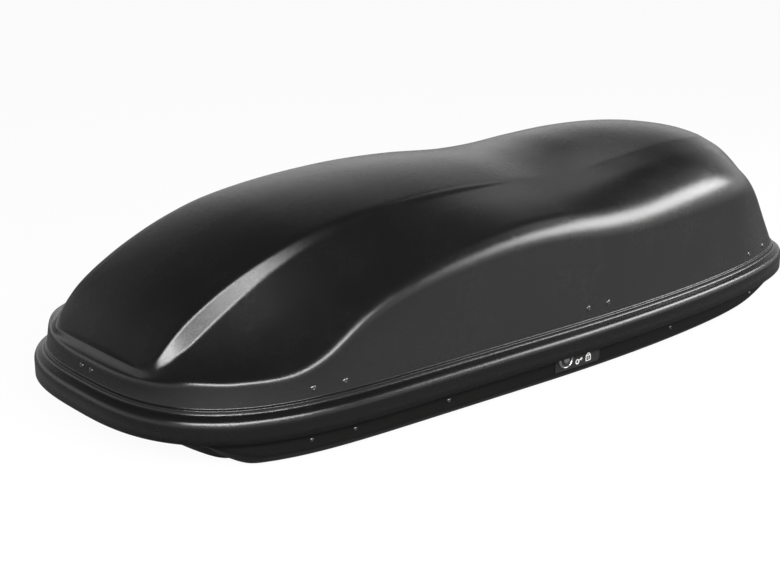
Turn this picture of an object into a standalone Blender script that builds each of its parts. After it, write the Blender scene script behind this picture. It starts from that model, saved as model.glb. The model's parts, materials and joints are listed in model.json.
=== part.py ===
# Roof box with a side-opening lid, central locking and folding lid stays.
# Metres, +Z up, nose towards -X, lock on the -Y side, hinges on the +Y side.
# The origin is under the middle of the box, on the face that rests on the roof bars.
import math

import bmesh
import bpy
from mathutils import Matrix, Vector
from mathutils.bvhtree import BVHTree

# Plan of the skirt, the widest outline of the box
boxLength = 1.873
boxWidth = 0.780
noseLength = 0.2936 * boxLength
noseFullnessX = 3.6
noseFullnessY = 2.83
tailLength = 0.5307 * boxLength
tailFullnessX = 1.9
tailFullnessY = 4.42

# Heights above the underside
skirtBottom = 0.060
skirtDepth = 0.036

# Moulded walls
lidWall = 0.004
baseWall = 0.004
seatGap = 0.0003

# Lid rim, as insets from the skirt face and heights above its lower edge
ledgeInset = 0.0205
wallInset = 0.0255
ledgeHeight = 0.047
creaseHeight = 0.0575

# Raised hood of the lid
hoodHalfWidth = 0.2372 * boxWidth
hoodNoseX = -0.473 * boxLength
hoodTailX = 0.3684 * boxLength
hoodCornerY = 0.2885 * boxWidth
sideFaceRun = 0.014
crestSpineNose = -0.326 * boxLength
crestSpineTail = 0.326 * boxLength
crestSpineShift = -0.0107 * boxLength

# Base tray
flangeInset = 0.0075
flangeHeight = 0.0330
baseInset = 0.0140
wallStep = 0.001
baseFootInset = 0.034
baseBottomInset = 0.056
swageCentre = 0.2974 * boxWidth
swageTopWidth = 0.034
swageSlope = 0.012
swageDepth = 0.014
tubCornerY = 0.3846 * boxWidth
tubNoseX = -0.4474 * boxLength
tubTailX = 0.4271 * boxLength
tubSpineReach = 0.374 * boxLength

# Clamp slots and floor rails
slotLength = 0.400
slotWidth = 0.010
slotOffset = 0.2136 * boxLength
railLength = 2.0 * slotOffset + slotLength + 0.080
railWidth = 0.032
railThickness = 0.003

# Hinges
hingePositions = (-0.2563 * boxLength, -0.0908 * boxLength, 0.0694 * boxLength)
hingeAxisInset = 0.0015
hingeAxisDrop = 0.0065
hingeWidth = 0.070
hingeKnuckleWidth = 0.022
leafThickness = 0.002
leafDrop = 0.020
leafRise = 0.025
webThickness = 0.003
knuckleRadius = 0.0050
hingePinRadius = 0.0025
pinClearance = 0.0003
knuckleGap = 0.0005

# Locking bar, claws and strikers
barInset = 0.040
barRearInset = 0.1538 * boxWidth
barThickness = 0.003
barHeight = 0.018
barNoseX = -0.3604 * boxLength
barJoggleX = 0.1789 * boxLength
barJoggleEndX = 0.3203 * boxLength
barTailX = 0.3924 * boxLength
barBottomDrop = 0.013
strikerPositions = (-0.3294 * boxLength, 0.0443 * boxLength, 0.3807 * boxLength)
strikerSpacings = (0.067, 0.062, 0.088)
strikerHeights = (0.074, 0.081, 0.072)
strikerNames = ("front", "middle", "rear")
strikerPlateHeight = 0.024
strikerPlateThickness = 0.0025
strikerTongueWidth = 0.024
strikerPinRadius = 0.004
strikerPinHeight = 0.030
clawThickness = 0.003
clawPostWidth = 0.012
clawFingerHeight = 0.007
clawClearance = 0.0055
runningGap = 0.0005

# Lock
lockX = -0.016 * boxLength
lockDrop = 0.006
lockRingRadius = 0.020
lockRingDepth = 0.005
lockPlateThickness = 0.0016
lockPlateStart = -0.028
lockPlateEnd = 0.102
lockPlateTop = 0.010
lockPlateBottom = -0.031
lockSleeveRadius = 0.0120
lockSleeveLength = 0.0165
lockNutRadius = 0.0170
lockNutThickness = 0.005
lockCoreRadius = 0.0080
lockCoreProud = 0.0012
camThickness = 0.0025
camGap = 0.0012
crankRadius = 0.012
crankPinRadius = 0.0025
driveTabWidth = 0.036
driveTabTop = 0.016

# Bar guides: place along the box, where the block and the rivets lie from there
guidePlaces = ((-0.3300 * boxLength, 0.028, (-0.046, 0.046)), (-0.1853 * boxLength, 0.0, (0.0,)),
               (0.1692 * boxLength, 0.0, (0.0,)), (0.3524 * boxLength, 0.0, (0.0,)))
guidePlateMargin = 0.014
guidePlateThickness = 0.0025
guidePlateBottom = 0.038
guidePlateTop = 0.072
guideBlockWidth = 0.026
guideWall = 0.0040
guideRivetHeight = 0.0430

# Lid stays: parallel linkages at the nose and the tail
stayPositions = (-0.3978 * boxLength, 0.3631 * boxLength)
stayNames = ("front", "rear")
stayBaseReach = 0.3077 * boxWidth
stayBasePivotHeight = 0.050
stayLidPivotHeight = 0.075
stayArmRadius = 0.009
stayArmThickness = 0.003
stayPinRadius = 0.004
stayPinHead = 0.0065
stayHeadThickness = 0.0015
stayPlateThickness = 0.0025
stayEarRadius = 0.012
stayFootLength = 0.040
stayFootWidth = 0.030
stayRivetSpacing = 0.035
stayBracketHeight = 0.018
stayBracketGap = 0.0010
openPivotClearance = 0.0008

# Rivets
lidRivetHeadRadius = 0.0062
baseRivetHeadRadius = 0.0045
rivetDomeHeight = 0.0028
rivetShankRadius = 0.0024
rivetGrip = 0.0085
holeClearance = 0.0003

# Mesh density
stationCount = 34
endCrowding = 0.25
roundSides = 20


def newCollection(name):
    made = bpy.data.collections.new(name)
    bpy.context.scene.collection.children.link(made)
    return made


def clearScene():
    for item in list(bpy.data.objects):
        bpy.data.objects.remove(item, do_unlink=True)


def finishOf(name, colour, roughness, metallic):
    material = bpy.data.materials.new(name)
    material.use_nodes = True
    shader = material.node_tree.nodes["Principled BSDF"]
    shader.inputs["Base Color"].default_value = (*colour, 1.0)
    shader.inputs["Roughness"].default_value = roughness
    shader.inputs["Metallic"].default_value = metallic
    return material


def smoothStep(low, high, value):
    t = min(max((value - low) / (high - low), 0.0), 1.0)
    return t * t * (3.0 - 2.0 * t)


def through(points, x):
    # A smooth curve through a few (share of the length, z) points, level at both ends
    x /= boxLength
    if x <= points[0][0]:
        return points[0][1]
    if x >= points[-1][0]:
        return points[-1][1]
    index = max(i for i in range(len(points) - 1) if points[i][0] <= x)

    def slope(i):
        if i == 0 or i == len(points) - 1:
            return 0.0
        return (points[i + 1][1] - points[i - 1][1]) / (points[i + 1][0] - points[i - 1][0])

    x0, z0 = points[index]
    x1, z1 = points[index + 1]
    span = x1 - x0
    t = (x - x0) / span
    s0 = slope(index) * span
    s1 = slope(index + 1) * span
    return ((2 * t ** 3 - 3 * t ** 2 + 1) * z0 + (t ** 3 - 2 * t ** 2 + t) * s0
            + (-2 * t ** 3 + 3 * t ** 2) * z1 + (t ** 3 - t ** 2) * s1)


# Heights above the skirt's lower edge, against the place along the box as a share of its length
shoulderProfile = ((-0.4965, 0.092), (-0.4645, 0.104), (-0.4271, 0.104), (-0.3684, 0.107), (-0.331, 0.128),
                   (-0.283, 0.178), (-0.2296, 0.215), (-0.1495, 0.246), (-0.0641, 0.264), (0.0107, 0.264),
                   (0.0747, 0.254), (0.1388, 0.249), (0.2242, 0.252), (0.331, 0.25), (0.4058, 0.232),
                   (0.4805, 0.18))
crestProfile = ((-0.4965, 0.092), (-0.4752, 0.126), (-0.4378, 0.179), (-0.4004, 0.222), (-0.3577, 0.261),
                (-0.3203, 0.287), (-0.283, 0.306), (-0.2242, 0.323), (-0.1602, 0.333), (-0.0961, 0.337),
                (-0.0214, 0.333), (0.0534, 0.322), (0.1068, 0.321), (0.1708, 0.328), (0.2403, 0.331),
                (0.3097, 0.322), (0.3737, 0.3), (0.4271, 0.272))
crownProfile = ((-0.4805, 0.004), (-0.3737, 0.01), (-0.1068, 0.014), (0.1068, 0.024), (0.267, 0.032),
                (0.4271, 0.034))
stepProfile = ((-0.4752, 0.036), (-0.4271, 0.036), (-0.331, 0.024), (-0.2403, 0.01), (-0.0801, 0.005),
               (0.0801, 0.0))
deckBend = ((-0.4538, 0.26), (-0.3203, 0.36), (-0.2136, 0.46), (0.0, 0.6), (0.1602, 0.7))
shoulderRound = ((-0.4271, 0.01), (-0.2936, 0.016), (-0.1068, 0.03), (0.1602, 0.042))
crestRound = ((-0.4271, 0.008), (-0.1602, 0.012), (0.0534, 0.028), (0.1602, 0.07))
leanProfile = ((-0.4805, 0.15), (0.3203, 0.17), (0.4271, 0.3), (0.4912, 0.42))
bandFloorProfile = ((-0.4805, 0.046), (-0.4592, 0.042), (-0.4431, 0.022), (-0.4218, 0.004), (-0.4058, 0.0),
                    (0.3097, 0.0), (0.3631, 0.012), (0.4164, 0.032), (0.4805, 0.044))
wallFootProfile = ((-0.4805, 0.055), (-0.4538, 0.052), (-0.4271, 0.036), (-0.4004, 0.026), (0.3203, 0.026),
                   (0.4164, 0.046), (0.4805, 0.055))


def finePoints(count=240):
    # Half the skirt outline, nose to tail: two quarter superellipses and the straight between
    noseEnd = -0.5 * boxLength
    tailEnd = 0.5 * boxLength
    points = []
    for i in range(count + 1):
        turn = 0.5 * math.pi * i / count
        points.append(Vector((noseEnd + noseLength * (1.0 - math.cos(turn) ** (2.0 / noseFullnessX)),
                              0.5 * boxWidth * math.sin(turn) ** (2.0 / noseFullnessY))))
    for i in range(count, -1, -1):
        turn = 0.5 * math.pi * i / count
        points.append(Vector((tailEnd - tailLength * (1.0 - math.cos(turn) ** (2.0 / tailFullnessX)),
                              0.5 * boxWidth * math.sin(turn) ** (2.0 / tailFullnessY))))
    return points


def skirtStations():
    # Points and outward normals of half the skirt outline, closer together where it bends
    points = finePoints()
    travelled = [0.0]
    heading = 0.5 * math.pi
    for before, after in zip(points, points[1:]):
        leg = after - before
        newHeading = math.atan2(leg.y, leg.x)
        travelled.append(travelled[-1] + leg.length + endCrowding * abs(heading - newHeading))
        heading = newHeading
    stations = []
    index = 0
    for k in range(stationCount):
        goal = travelled[-1] * k / (stationCount - 1)
        while index < len(points) - 2 and travelled[index + 1] < goal:
            index += 1
        share = (goal - travelled[index]) / (travelled[index + 1] - travelled[index])
        leg = (points[index + 1] - points[index]).normalized()
        normal = Vector((-leg.y, leg.x))
        if k in (0, stationCount - 1):
            normal = Vector((-1.0 if k == 0 else 1.0, 0.0))
        stations.append((points[index].lerp(points[index + 1], min(share, 1.0)), normal))
    return stations


def insideLoop(point, noseX, tailX, halfWidth, corner, sharpness):
    # The point of a smaller loop with square ends that lies abreast of a skirt point
    margin = 0.018
    share = (point.x + 0.5 * boxLength - margin) / (boxLength - 2.0 * margin)
    across = point.y / corner
    return Vector((noseX + (tailX - noseX) * min(max(share, 0.0), 1.0),
                   halfWidth * across / (1.0 + across ** sharpness) ** (1.0 / sharpness)))


def hoodPoint(point):
    # The hood's edge: square across the nose, narrowing with the skirt towards the tail
    spot = insideLoop(point, hoodNoseX, hoodTailX, hoodHalfWidth, hoodCornerY, 8)
    if point.x > 0.0:
        spot.y = hoodHalfWidth * (2.0 * point.y / boxWidth) ** 0.9
    return spot


def halfWidthAt(x):
    # Half the width of the skirt outline at a place along the box
    noseJoin = -0.5 * boxLength + noseLength
    tailJoin = 0.5 * boxLength - tailLength
    if x < noseJoin:
        across = min((noseJoin - x) / noseLength, 1.0)
        return 0.5 * boxWidth * (1.0 - across ** noseFullnessX) ** (1.0 / noseFullnessY)
    if x > tailJoin:
        across = min((x - tailJoin) / tailLength, 1.0)
        return 0.5 * boxWidth * (1.0 - across ** tailFullnessX) ** (1.0 / tailFullnessY)
    return 0.5 * boxWidth


def rounded(corners, reaches, steps):
    # A section line whose corners are turned by short curves of the given reach
    line = [corners[0]]
    for i in range(1, len(corners) - 1):
        before = corners[i - 1] - corners[i]
        after = corners[i + 1] - corners[i]
        start = corners[i] + before.normalized() * min(reaches[i], 0.48 * before.length)
        end = corners[i] + after.normalized() * min(reaches[i], 0.48 * after.length)
        for step in range(steps[i] + 1):
            t = step / steps[i]
            line.append(start * (1 - t) ** 2 + corners[i] * 2 * t * (1 - t) + end * t ** 2)
    line.append(corners[-1])
    return line


def hoodHeight(x, y):
    return through(crestProfile, x) + through(crownProfile, x) * (1.0 - (y / hoodHalfWidth) ** 2)


def lidSection(point, normal):
    # One section of the lid, from the lower edge of its skirt up and in to the spine
    def inset(distance, height):
        return Vector((point.x - normal.x * distance, point.y - normal.y * distance, height))

    rim = [inset(0.0, 0.0), inset(0.0, skirtDepth), inset(0.0022, skirtDepth + 0.0058),
           inset(0.0075, skirtDepth + 0.0085), inset(ledgeInset - 0.0035, ledgeHeight),
           inset(ledgeInset, creaseHeight - 0.0025)]
    shoulderZ = through(shoulderProfile, point.x)
    foot = inset(wallInset, creaseHeight)
    lean = through(leanProfile, point.x)
    shoulder = inset(wallInset + lean * (shoulderZ - creaseHeight), shoulderZ)
    hood = hoodPoint(point)
    crest = Vector((hood.x, hood.y, hoodHeight(hood.x, hood.y)))
    level = Vector((crest.x - shoulder.x, crest.y - shoulder.y, 0.0))
    sideways = smoothStep(0.55, 0.95, hood.y / hoodHalfWidth)
    step = through(stepProfile, hood.x) * sideways
    run = min(sideFaceRun, 0.3 * level.length)
    kink = crest - level.normalized() * run
    kink.z = crest.z - step - 0.25 * run
    middle = (shoulder + kink) * 0.5
    bend = through(deckBend, hood.x)
    middle.z = shoulder.z + bend * (kink.z - shoulder.z)
    reach = 0.5 * (kink - shoulder).length
    corners = [foot, shoulder, middle, kink, crest]
    spine = Vector((min(max(0.70 * point.x, crestSpineNose), crestSpineTail) + crestSpineShift, 0.0))
    inner = [crest.lerp(Vector((spine.x, spine.y, 0.0)), t) for t in (0.12, 0.4, 0.7, 1.0)]
    for item in inner:
        item.z = hoodHeight(item.x, item.y)
    corners.append(inner[0])
    reaches = [0.0, through(shoulderRound, point.x), reach, 0.4 * run, through(crestRound, hood.x), 0.0]
    line = rounded(corners, reaches, [0, 3, 3, 1, 2, 0])
    return rim + line + inner[1:]


def baseSection(point, normal):
    # One section of the tray, from its flange down and in along the floor to the middle
    def inset(distance, height):
        return Vector((point.x - normal.x * distance, point.y - normal.y * distance, height))

    low = through(bandFloorProfile, point.x)
    wallFoot = through(wallFootProfile, point.x)
    line = [inset(flangeInset, skirtBottom + flangeHeight - 0.0015), inset(baseInset, skirtBottom + flangeHeight),
            inset(baseInset + wallStep, skirtBottom + flangeHeight - 0.005), inset(baseInset + wallStep, wallFoot)]
    foot = low + 0.4 * (wallFoot - low)
    line += [inset(baseFootInset, foot), inset(0.5 * (baseFootInset + baseBottomInset), low + 0.25 * (foot - low)),
             inset(baseBottomInset, low)]
    outerEdge = swageCentre + 0.5 * swageTopWidth + swageSlope
    innerEdge = swageCentre - 0.5 * swageTopWidth - swageSlope
    for across, height in ((outerEdge, None), (outerEdge - swageSlope, swageDepth),
                           (innerEdge + swageSlope, swageDepth), (innerEdge, 0.0)):
        shrink = outerEdge - across
        spot = insideLoop(point, tubNoseX + shrink, tubTailX - shrink, across, tubCornerY, 24)
        if height is None:
            band = min(low, through(bandFloorProfile, spot.x))
            line.append(Vector((spot.x, spot.y, max(band, 0.0))))
        else:
            line.append(Vector((spot.x, spot.y, height)))
    line.append(Vector((min(max(0.78 * point.x, -tubSpineReach), tubSpineReach), 0.0, 0.0)))
    return line


def loftHalf(sections, lift):
    # An open half surface through equal sections, as a bmesh grid on the +Y side
    mesh = bmesh.new()
    grid = [[mesh.verts.new((p.x, max(p.y, 0.0), p.z + lift)) for p in line] for line in sections]
    for i in range(len(grid) - 1):
        for j in range(len(grid[0]) - 1):
            quad = [grid[i][j], grid[i][j + 1], grid[i + 1][j + 1], grid[i + 1][j]]
            corners = []
            for vert in quad:
                if all((vert.co - kept.co).length > 1e-5 for kept in corners):
                    corners.append(vert)
            if len(corners) > 2:
                mesh.faces.new(corners)
    bmesh.ops.remove_doubles(mesh, verts=mesh.verts, dist=1e-5)
    bmesh.ops.triangulate(mesh, faces=mesh.faces, quad_method="SHORT_EDGE")
    return mesh


def addObject(name, mesh, collection, finish, smoothAngle=35.0):
    item = bpy.data.objects.new(name, mesh)
    collection.objects.link(item)
    mesh.materials.clear()
    mesh.materials.append(finish)
    if smoothAngle:
        mesh.shade_smooth()
        mesh.set_sharp_from_angle(angle=math.radians(smoothAngle))
    return item


def shellFrom(name, sections, lift, wall, collection, finish):
    # A moulded shell: half a loft, mirrored, then thickened inwards
    half = loftHalf(sections, lift)
    mesh = bpy.data.meshes.new(name)
    half.to_mesh(mesh)
    half.free()
    shell = addObject(name, mesh, collection, finish)
    mirror = shell.modifiers.new("bothSides", "MIRROR")
    mirror.use_axis = (False, True, False)
    mirror.use_clip = True
    mirror.merge_threshold = 0.00005
    thick = shell.modifiers.new("wall", "SOLIDIFY")
    thick.thickness = wall
    thick.offset = -1.0
    thick.use_even_offset = True
    return shell


def surfaceOf(shell):
    # A search tree of the shell's faces as they stand
    depsgraph = bpy.context.evaluated_depsgraph_get()
    depsgraph.update()
    return BVHTree.FromObject(shell, depsgraph)


def seatOn(tree, start, direction):
    # Where a straight line meets a shell, and the shell's outward normal there
    place, normal, face, distance = tree.ray_cast(Vector(start), Vector(direction).normalized())
    if place is None:
        raise RuntimeError("no surface found at " + str(tuple(start)))
    if normal.dot(Vector(direction)) > 0.0:
        normal = -normal
    return place, normal


def takeMesh(item, name):
    mesh = item.data
    mesh.name = name
    bpy.data.objects.remove(item, do_unlink=True)
    return mesh


def blockMesh(name, size):
    bpy.ops.mesh.primitive_cube_add(size=1.0)
    mesh = takeMesh(bpy.context.active_object, name)
    mesh.transform(Matrix.Diagonal((*size, 1.0)))
    return mesh


def discMesh(name, radius, depth, sides=roundSides):
    bpy.ops.mesh.primitive_cylinder_add(vertices=sides, radius=radius, depth=depth)
    return takeMesh(bpy.context.active_object, name)


def frameFrom(place, outward, up=(0.0, 0.0, 1.0)):
    # A placing matrix: local +Z looks outward, local +Y is as near up as it can be
    outward = Vector(outward).normalized()
    across = Vector(up).cross(outward).normalized()
    upright = outward.cross(across)
    matrix = Matrix((across, upright, outward)).transposed().to_4x4()
    matrix.translation = Vector(place)
    return matrix


def flatMesh(name, outlines, thickness):
    # A plate of the given outlines, the first its edge and the rest its holes
    curve = bpy.data.curves.new(name, "CURVE")
    curve.dimensions = "2D"
    curve.fill_mode = "BOTH"
    curve.extrude = 0.5 * thickness
    for outline in outlines:
        spline = curve.splines.new("POLY")
        spline.points.add(len(outline) - 1)
        for point, (u, v) in zip(spline.points, outline):
            point.co = (u, v, 0.0, 1.0)
        spline.use_cyclic_u = True
    holder = bpy.data.objects.new(name, curve)
    bpy.context.scene.collection.objects.link(holder)
    depsgraph = bpy.context.evaluated_depsgraph_get()
    mesh = bpy.data.meshes.new_from_object(holder.evaluated_get(depsgraph))
    bpy.data.objects.remove(holder, do_unlink=True)
    work = bmesh.new()
    work.from_mesh(mesh)
    bmesh.ops.remove_doubles(work, verts=work.verts, dist=1e-6)
    bmesh.ops.recalc_face_normals(work, faces=work.faces)
    work.to_mesh(mesh)
    work.free()
    mesh.name = name
    return mesh


def ringPoints(radius, centre=(0.0, 0.0), sides=roundSides, start=0.0, stop=2.0 * math.pi, closed=True):
    count = sides if closed else sides - 1
    return [(centre[0] + radius * math.cos(start + (stop - start) * i / count),
             centre[1] + radius * math.sin(start + (stop - start) * i / count)) for i in range(sides)]


def stadium(start, end, radius, sides=8):
    # The outline of a bar with round ends between two points
    angle = math.atan2(end[1] - start[1], end[0] - start[0])
    first = ringPoints(radius, end, sides, angle - 0.5 * math.pi, angle + 0.5 * math.pi, False)
    second = ringPoints(radius, start, sides, angle + 0.5 * math.pi, angle + 1.5 * math.pi, False)
    return first + second


def turnedMesh(name, profile, sides=roundSides):
    # A turned solid: an open profile from the axis round to the axis, spun about local Z
    mesh = bpy.data.meshes.new(name)
    mesh.from_pydata([(r, 0.0, z) for r, z in profile], [(i, i + 1) for i in range(len(profile) - 1)], [])
    holder = bpy.data.objects.new(name, mesh)
    bpy.context.scene.collection.objects.link(holder)
    spin = holder.modifiers.new("turned", "SCREW")
    spin.steps = sides
    spin.render_steps = sides
    spin.use_merge_vertices = True
    spin.merge_threshold = 0.00001
    depsgraph = bpy.context.evaluated_depsgraph_get()
    turned = bpy.data.meshes.new_from_object(holder.evaluated_get(depsgraph))
    bpy.data.objects.remove(holder, do_unlink=True)
    work = bmesh.new()
    work.from_mesh(turned)
    bmesh.ops.recalc_face_normals(work, faces=work.faces)
    work.to_mesh(turned)
    work.free()
    turned.name = name
    return turned


def combine(target, cutter, operation="DIFFERENCE"):
    change = target.modifiers.new(cutter.name, "BOOLEAN")
    change.operation = operation
    change.solver = "EXACT"
    change.object = cutter


def joinMeshes(name, meshes):
    # One mesh from several that don't meet, used as a single cutter
    work = bmesh.new()
    for mesh in meshes:
        work.from_mesh(mesh)
    joined = bpy.data.meshes.new(name)
    work.to_mesh(joined)
    work.free()
    return joined


class Workshop:
    # Keeps the collections and finishes, and places finished pieces
    def __init__(self):
        self.parts = newCollection("roof_box")
        self.cutters = newCollection("cutters")
        self.finishes = {}

    def finish(self, name, colour, roughness, metallic):
        self.finishes[name] = finishOf(name, colour, roughness, metallic)

    def place(self, name, mesh, matrix, finish, parent=None, smoothAngle=35.0):
        item = addObject(name, mesh, self.parts, self.finishes[finish], smoothAngle)
        self.attach(item, matrix, parent)
        return item

    def attach(self, item, matrix, parent):
        if parent is not None:
            item.parent = parent
            item.matrix_parent_inverse = parent.matrix_world.inverted()
        item.matrix_world = matrix
        bpy.context.view_layer.update()

    def cutter(self, name, mesh, matrix=None):
        item = bpy.data.objects.new(name, mesh)
        self.cutters.objects.link(item)
        item.matrix_world = matrix if matrix is not None else Matrix.Identity(4)
        item.hide_render = True
        item.display_type = "WIRE"
        item.hide_set(True)
        bpy.context.view_layer.update()
        return item

    def axis(self, name, place, parent=None):
        item = bpy.data.objects.new(name, None)
        item.empty_display_size = 0.03
        self.parts.objects.link(item)
        self.attach(item, Matrix.Translation(place), parent)
        return item


def rivetMesh(name, headRadius):
    # A domed rivet: head above the seat, shank through the grip
    profile = [(0.0, rivetDomeHeight)]
    profile += [(headRadius * math.sin(a), rivetDomeHeight * math.cos(a)) for a in (0.5, 1.05)]
    profile += [(headRadius, 0.0006), (headRadius, seatGap), (rivetShankRadius, seatGap),
                (rivetShankRadius, -rivetGrip), (0.0, -rivetGrip)]
    return turnedMesh(name, profile, 12)


def alongX(x, y, z):
    # Local X and Y lie across and up, local Z runs along the box
    matrix = Matrix(((0.0, 0.0, 1.0), (1.0, 0.0, 0.0), (0.0, 1.0, 0.0))).to_4x4()
    matrix.translation = Vector((x, y, z))
    return matrix


def alongY(x, y, z):
    # Local X and Y lie along the box and up, local Z points to the lock's side
    matrix = Matrix(((1.0, 0.0, 0.0), (0.0, 0.0, -1.0), (0.0, 1.0, 0.0))).to_4x4()
    matrix.translation = Vector((x, y, z))
    return matrix


def strip(points, thickness):
    # The outline of a bent strip of even thickness with square ends
    sides = ([], [])
    for i, point in enumerate(points):
        here = Vector(point)
        legs = []
        if i > 0:
            legs.append((here - Vector(points[i - 1])).normalized())
        if i < len(points) - 1:
            legs.append((Vector(points[i + 1]) - here).normalized())
        along = sum(legs, Vector((0.0, 0.0))).normalized()
        normal = Vector((-along.y, along.x))
        reach = 0.5 * thickness / max(along.dot(legs[0]), 0.3)
        sides[0].append(tuple(here + normal * reach))
        sides[1].append(tuple(here - normal * reach))
    return sides[1] + sides[0][::-1]


def moved(mesh, matrix):
    mesh.transform(matrix)
    return mesh


def rivetHoles(shop, name, frames, targets):
    # Clearance holes for a group of rivets, through everything they hold
    holes = [moved(discMesh(name, rivetShankRadius + holeClearance, 3.0 * rivetGrip, 10), frame) for frame in frames]
    cutter = shop.cutter(name, joinMeshes(name, holes))
    for target in targets:
        combine(target, cutter)


def wallSeat(tree, x, z, span):
    # A plate's seat inside the lock's side wall: a frame on the chord between its ends
    ends = [seatOn(tree, (place, 0.0, z), (0.0, -1.0, 0.0)) for place in (x - 0.5 * span, x + 0.5 * span)]
    chord = (ends[1][0] - ends[0][0]).normalized()
    outward = -(ends[0][1] + ends[1][1])
    outward = (outward - chord * outward.dot(chord)).normalized()
    return frameFrom((ends[0][0] + ends[1][0]) * 0.5, outward, outward.cross(chord))


def endSeat(tree, direction, z, span):
    # A plate's seat inside the nose or tail wall: a frame on the chord between its top and bottom
    low, high = [seatOn(tree, (0.0, 0.0, place), (direction, 0.0, 0.0))[0] for place in (z - 0.5 * span, z + 0.5 * span)]
    outward = Vector((0.0, direction, 0.0)).cross(high - low)
    return frameFrom((low + high) * 0.5, outward)


def outerSeat(tree, start, direction, reach):
    # A rivet's seat on the outside of a shell, level with the ground under its whole head
    direction = Vector(direction)
    start = Vector(start) - direction
    across = direction.cross(Vector((0.0, 0.0, reach)))
    shifts = (across, -across, Vector((0.0, 0.0, reach)), Vector((0.0, 0.0, -reach)))
    spots = [seatOn(tree, start + shift, direction)[0] for shift in shifts]
    outward = (spots[0] - spots[1]).cross(spots[2] - spots[3]).normalized()
    if outward.dot(direction) > 0.0:
        outward = -outward
    place = seatOn(tree, start, direction)[0]
    lift = max([(spot - place).dot(outward) for spot in spots] + [0.0])
    return frameFrom(place + outward * lift, outward)


def lockSidePlane(inset):
    return -(0.5 * boxWidth - inset)


def hingeAxis():
    return Vector((0.0, 0.5 * boxWidth - hingeAxisInset, skirtBottom - hingeAxisDrop))


def buildHinge(shop, index, x, lidAxis):
    # Two leaves and a pin; the tray's leaf has the outer knuckles, the lid's the middle one
    axis = hingeAxis()
    widths = [halfWidthAt(x + side * 0.5 * hingeWidth) for side in (-1.0, 0.0, 1.0)]
    bore = ringPoints(hingePinRadius + pinClearance, sides=12)
    entry = math.asin(0.5 * webThickness / knuckleRadius)
    barrel = ringPoints(knuckleRadius, (0.0, 0.0), 16, -math.pi + entry, math.pi - entry, False)

    def knuckle(name, plateMiddle, width, offset):
        start = min(plateMiddle, -1.1 * knuckleRadius)
        edge = [(start, -0.5 * webThickness)] + barrel + [(start, 0.5 * webThickness)]
        return moved(flatMesh(name, [edge, bore], width), alongX(x + offset, axis.y, axis.z))

    baseFace = max(widths) - baseInset - wallStep + seatGap
    name = "hinge_" + str(index) + "_base_leaf"
    baseTop = axis.z - 0.001
    baseBottom = axis.z - leafDrop
    plate = blockMesh(name, (hingeWidth, leafThickness, baseTop - baseBottom + 0.004))
    leaf = shop.place(name, plate, Matrix.Translation((x, baseFace + 0.5 * leafThickness,
                                                       0.5 * (baseTop + baseBottom) + 0.002)), "zincSteel")
    offset = 0.5 * (hingeWidth - hingeKnuckleWidth) - knuckleGap
    ends = [knuckle(name, baseFace + 0.5 * leafThickness - axis.y, hingeKnuckleWidth, side * offset)
            for side in (-1.0, 1.0)]
    combine(leaf, shop.cutter(name + "_knuckles", joinMeshes(name, ends)), "UNION")

    name = "hinge_" + str(index) + "_lid_leaf"
    lidFace = min(widths) - lidWall - seatGap - 0.5 * leafThickness
    low = axis.z + knuckleRadius + knuckleGap
    high = skirtBottom + leafRise
    plate = blockMesh(name, (hingeWidth, leafThickness, high - low))
    leaf = shop.place(name, plate, Matrix.Translation((x, lidFace, 0.5 * (low + high))), "zincSteel", lidAxis)
    middle = hingeWidth - 2.0 * (hingeKnuckleWidth + 2.0 * knuckleGap)
    drop = low + 0.002 - axis.z + 0.5 * webThickness
    tongue = blockMesh(name, (middle, 0.98 * leafThickness, drop))
    tongue = moved(tongue, Matrix.Translation((x, lidFace, axis.z - 0.5 * webThickness + 0.5 * drop)))
    combine(leaf, shop.cutter(name + "_tongue", tongue), "UNION")
    barrelMesh = knuckle(name, lidFace - axis.y, middle, 0.0)
    combine(leaf, shop.cutter(name + "_knuckle", barrelMesh), "UNION")

    name = "hinge_" + str(index) + "_pin"
    pin = discMesh(name, hingePinRadius, hingeWidth, 12)
    shop.place(name, pin, alongX(x, axis.y, axis.z), "zincSteel")


def crankTravel():
    return 2.0 * crankRadius * math.sin(0.25 * math.pi)


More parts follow.
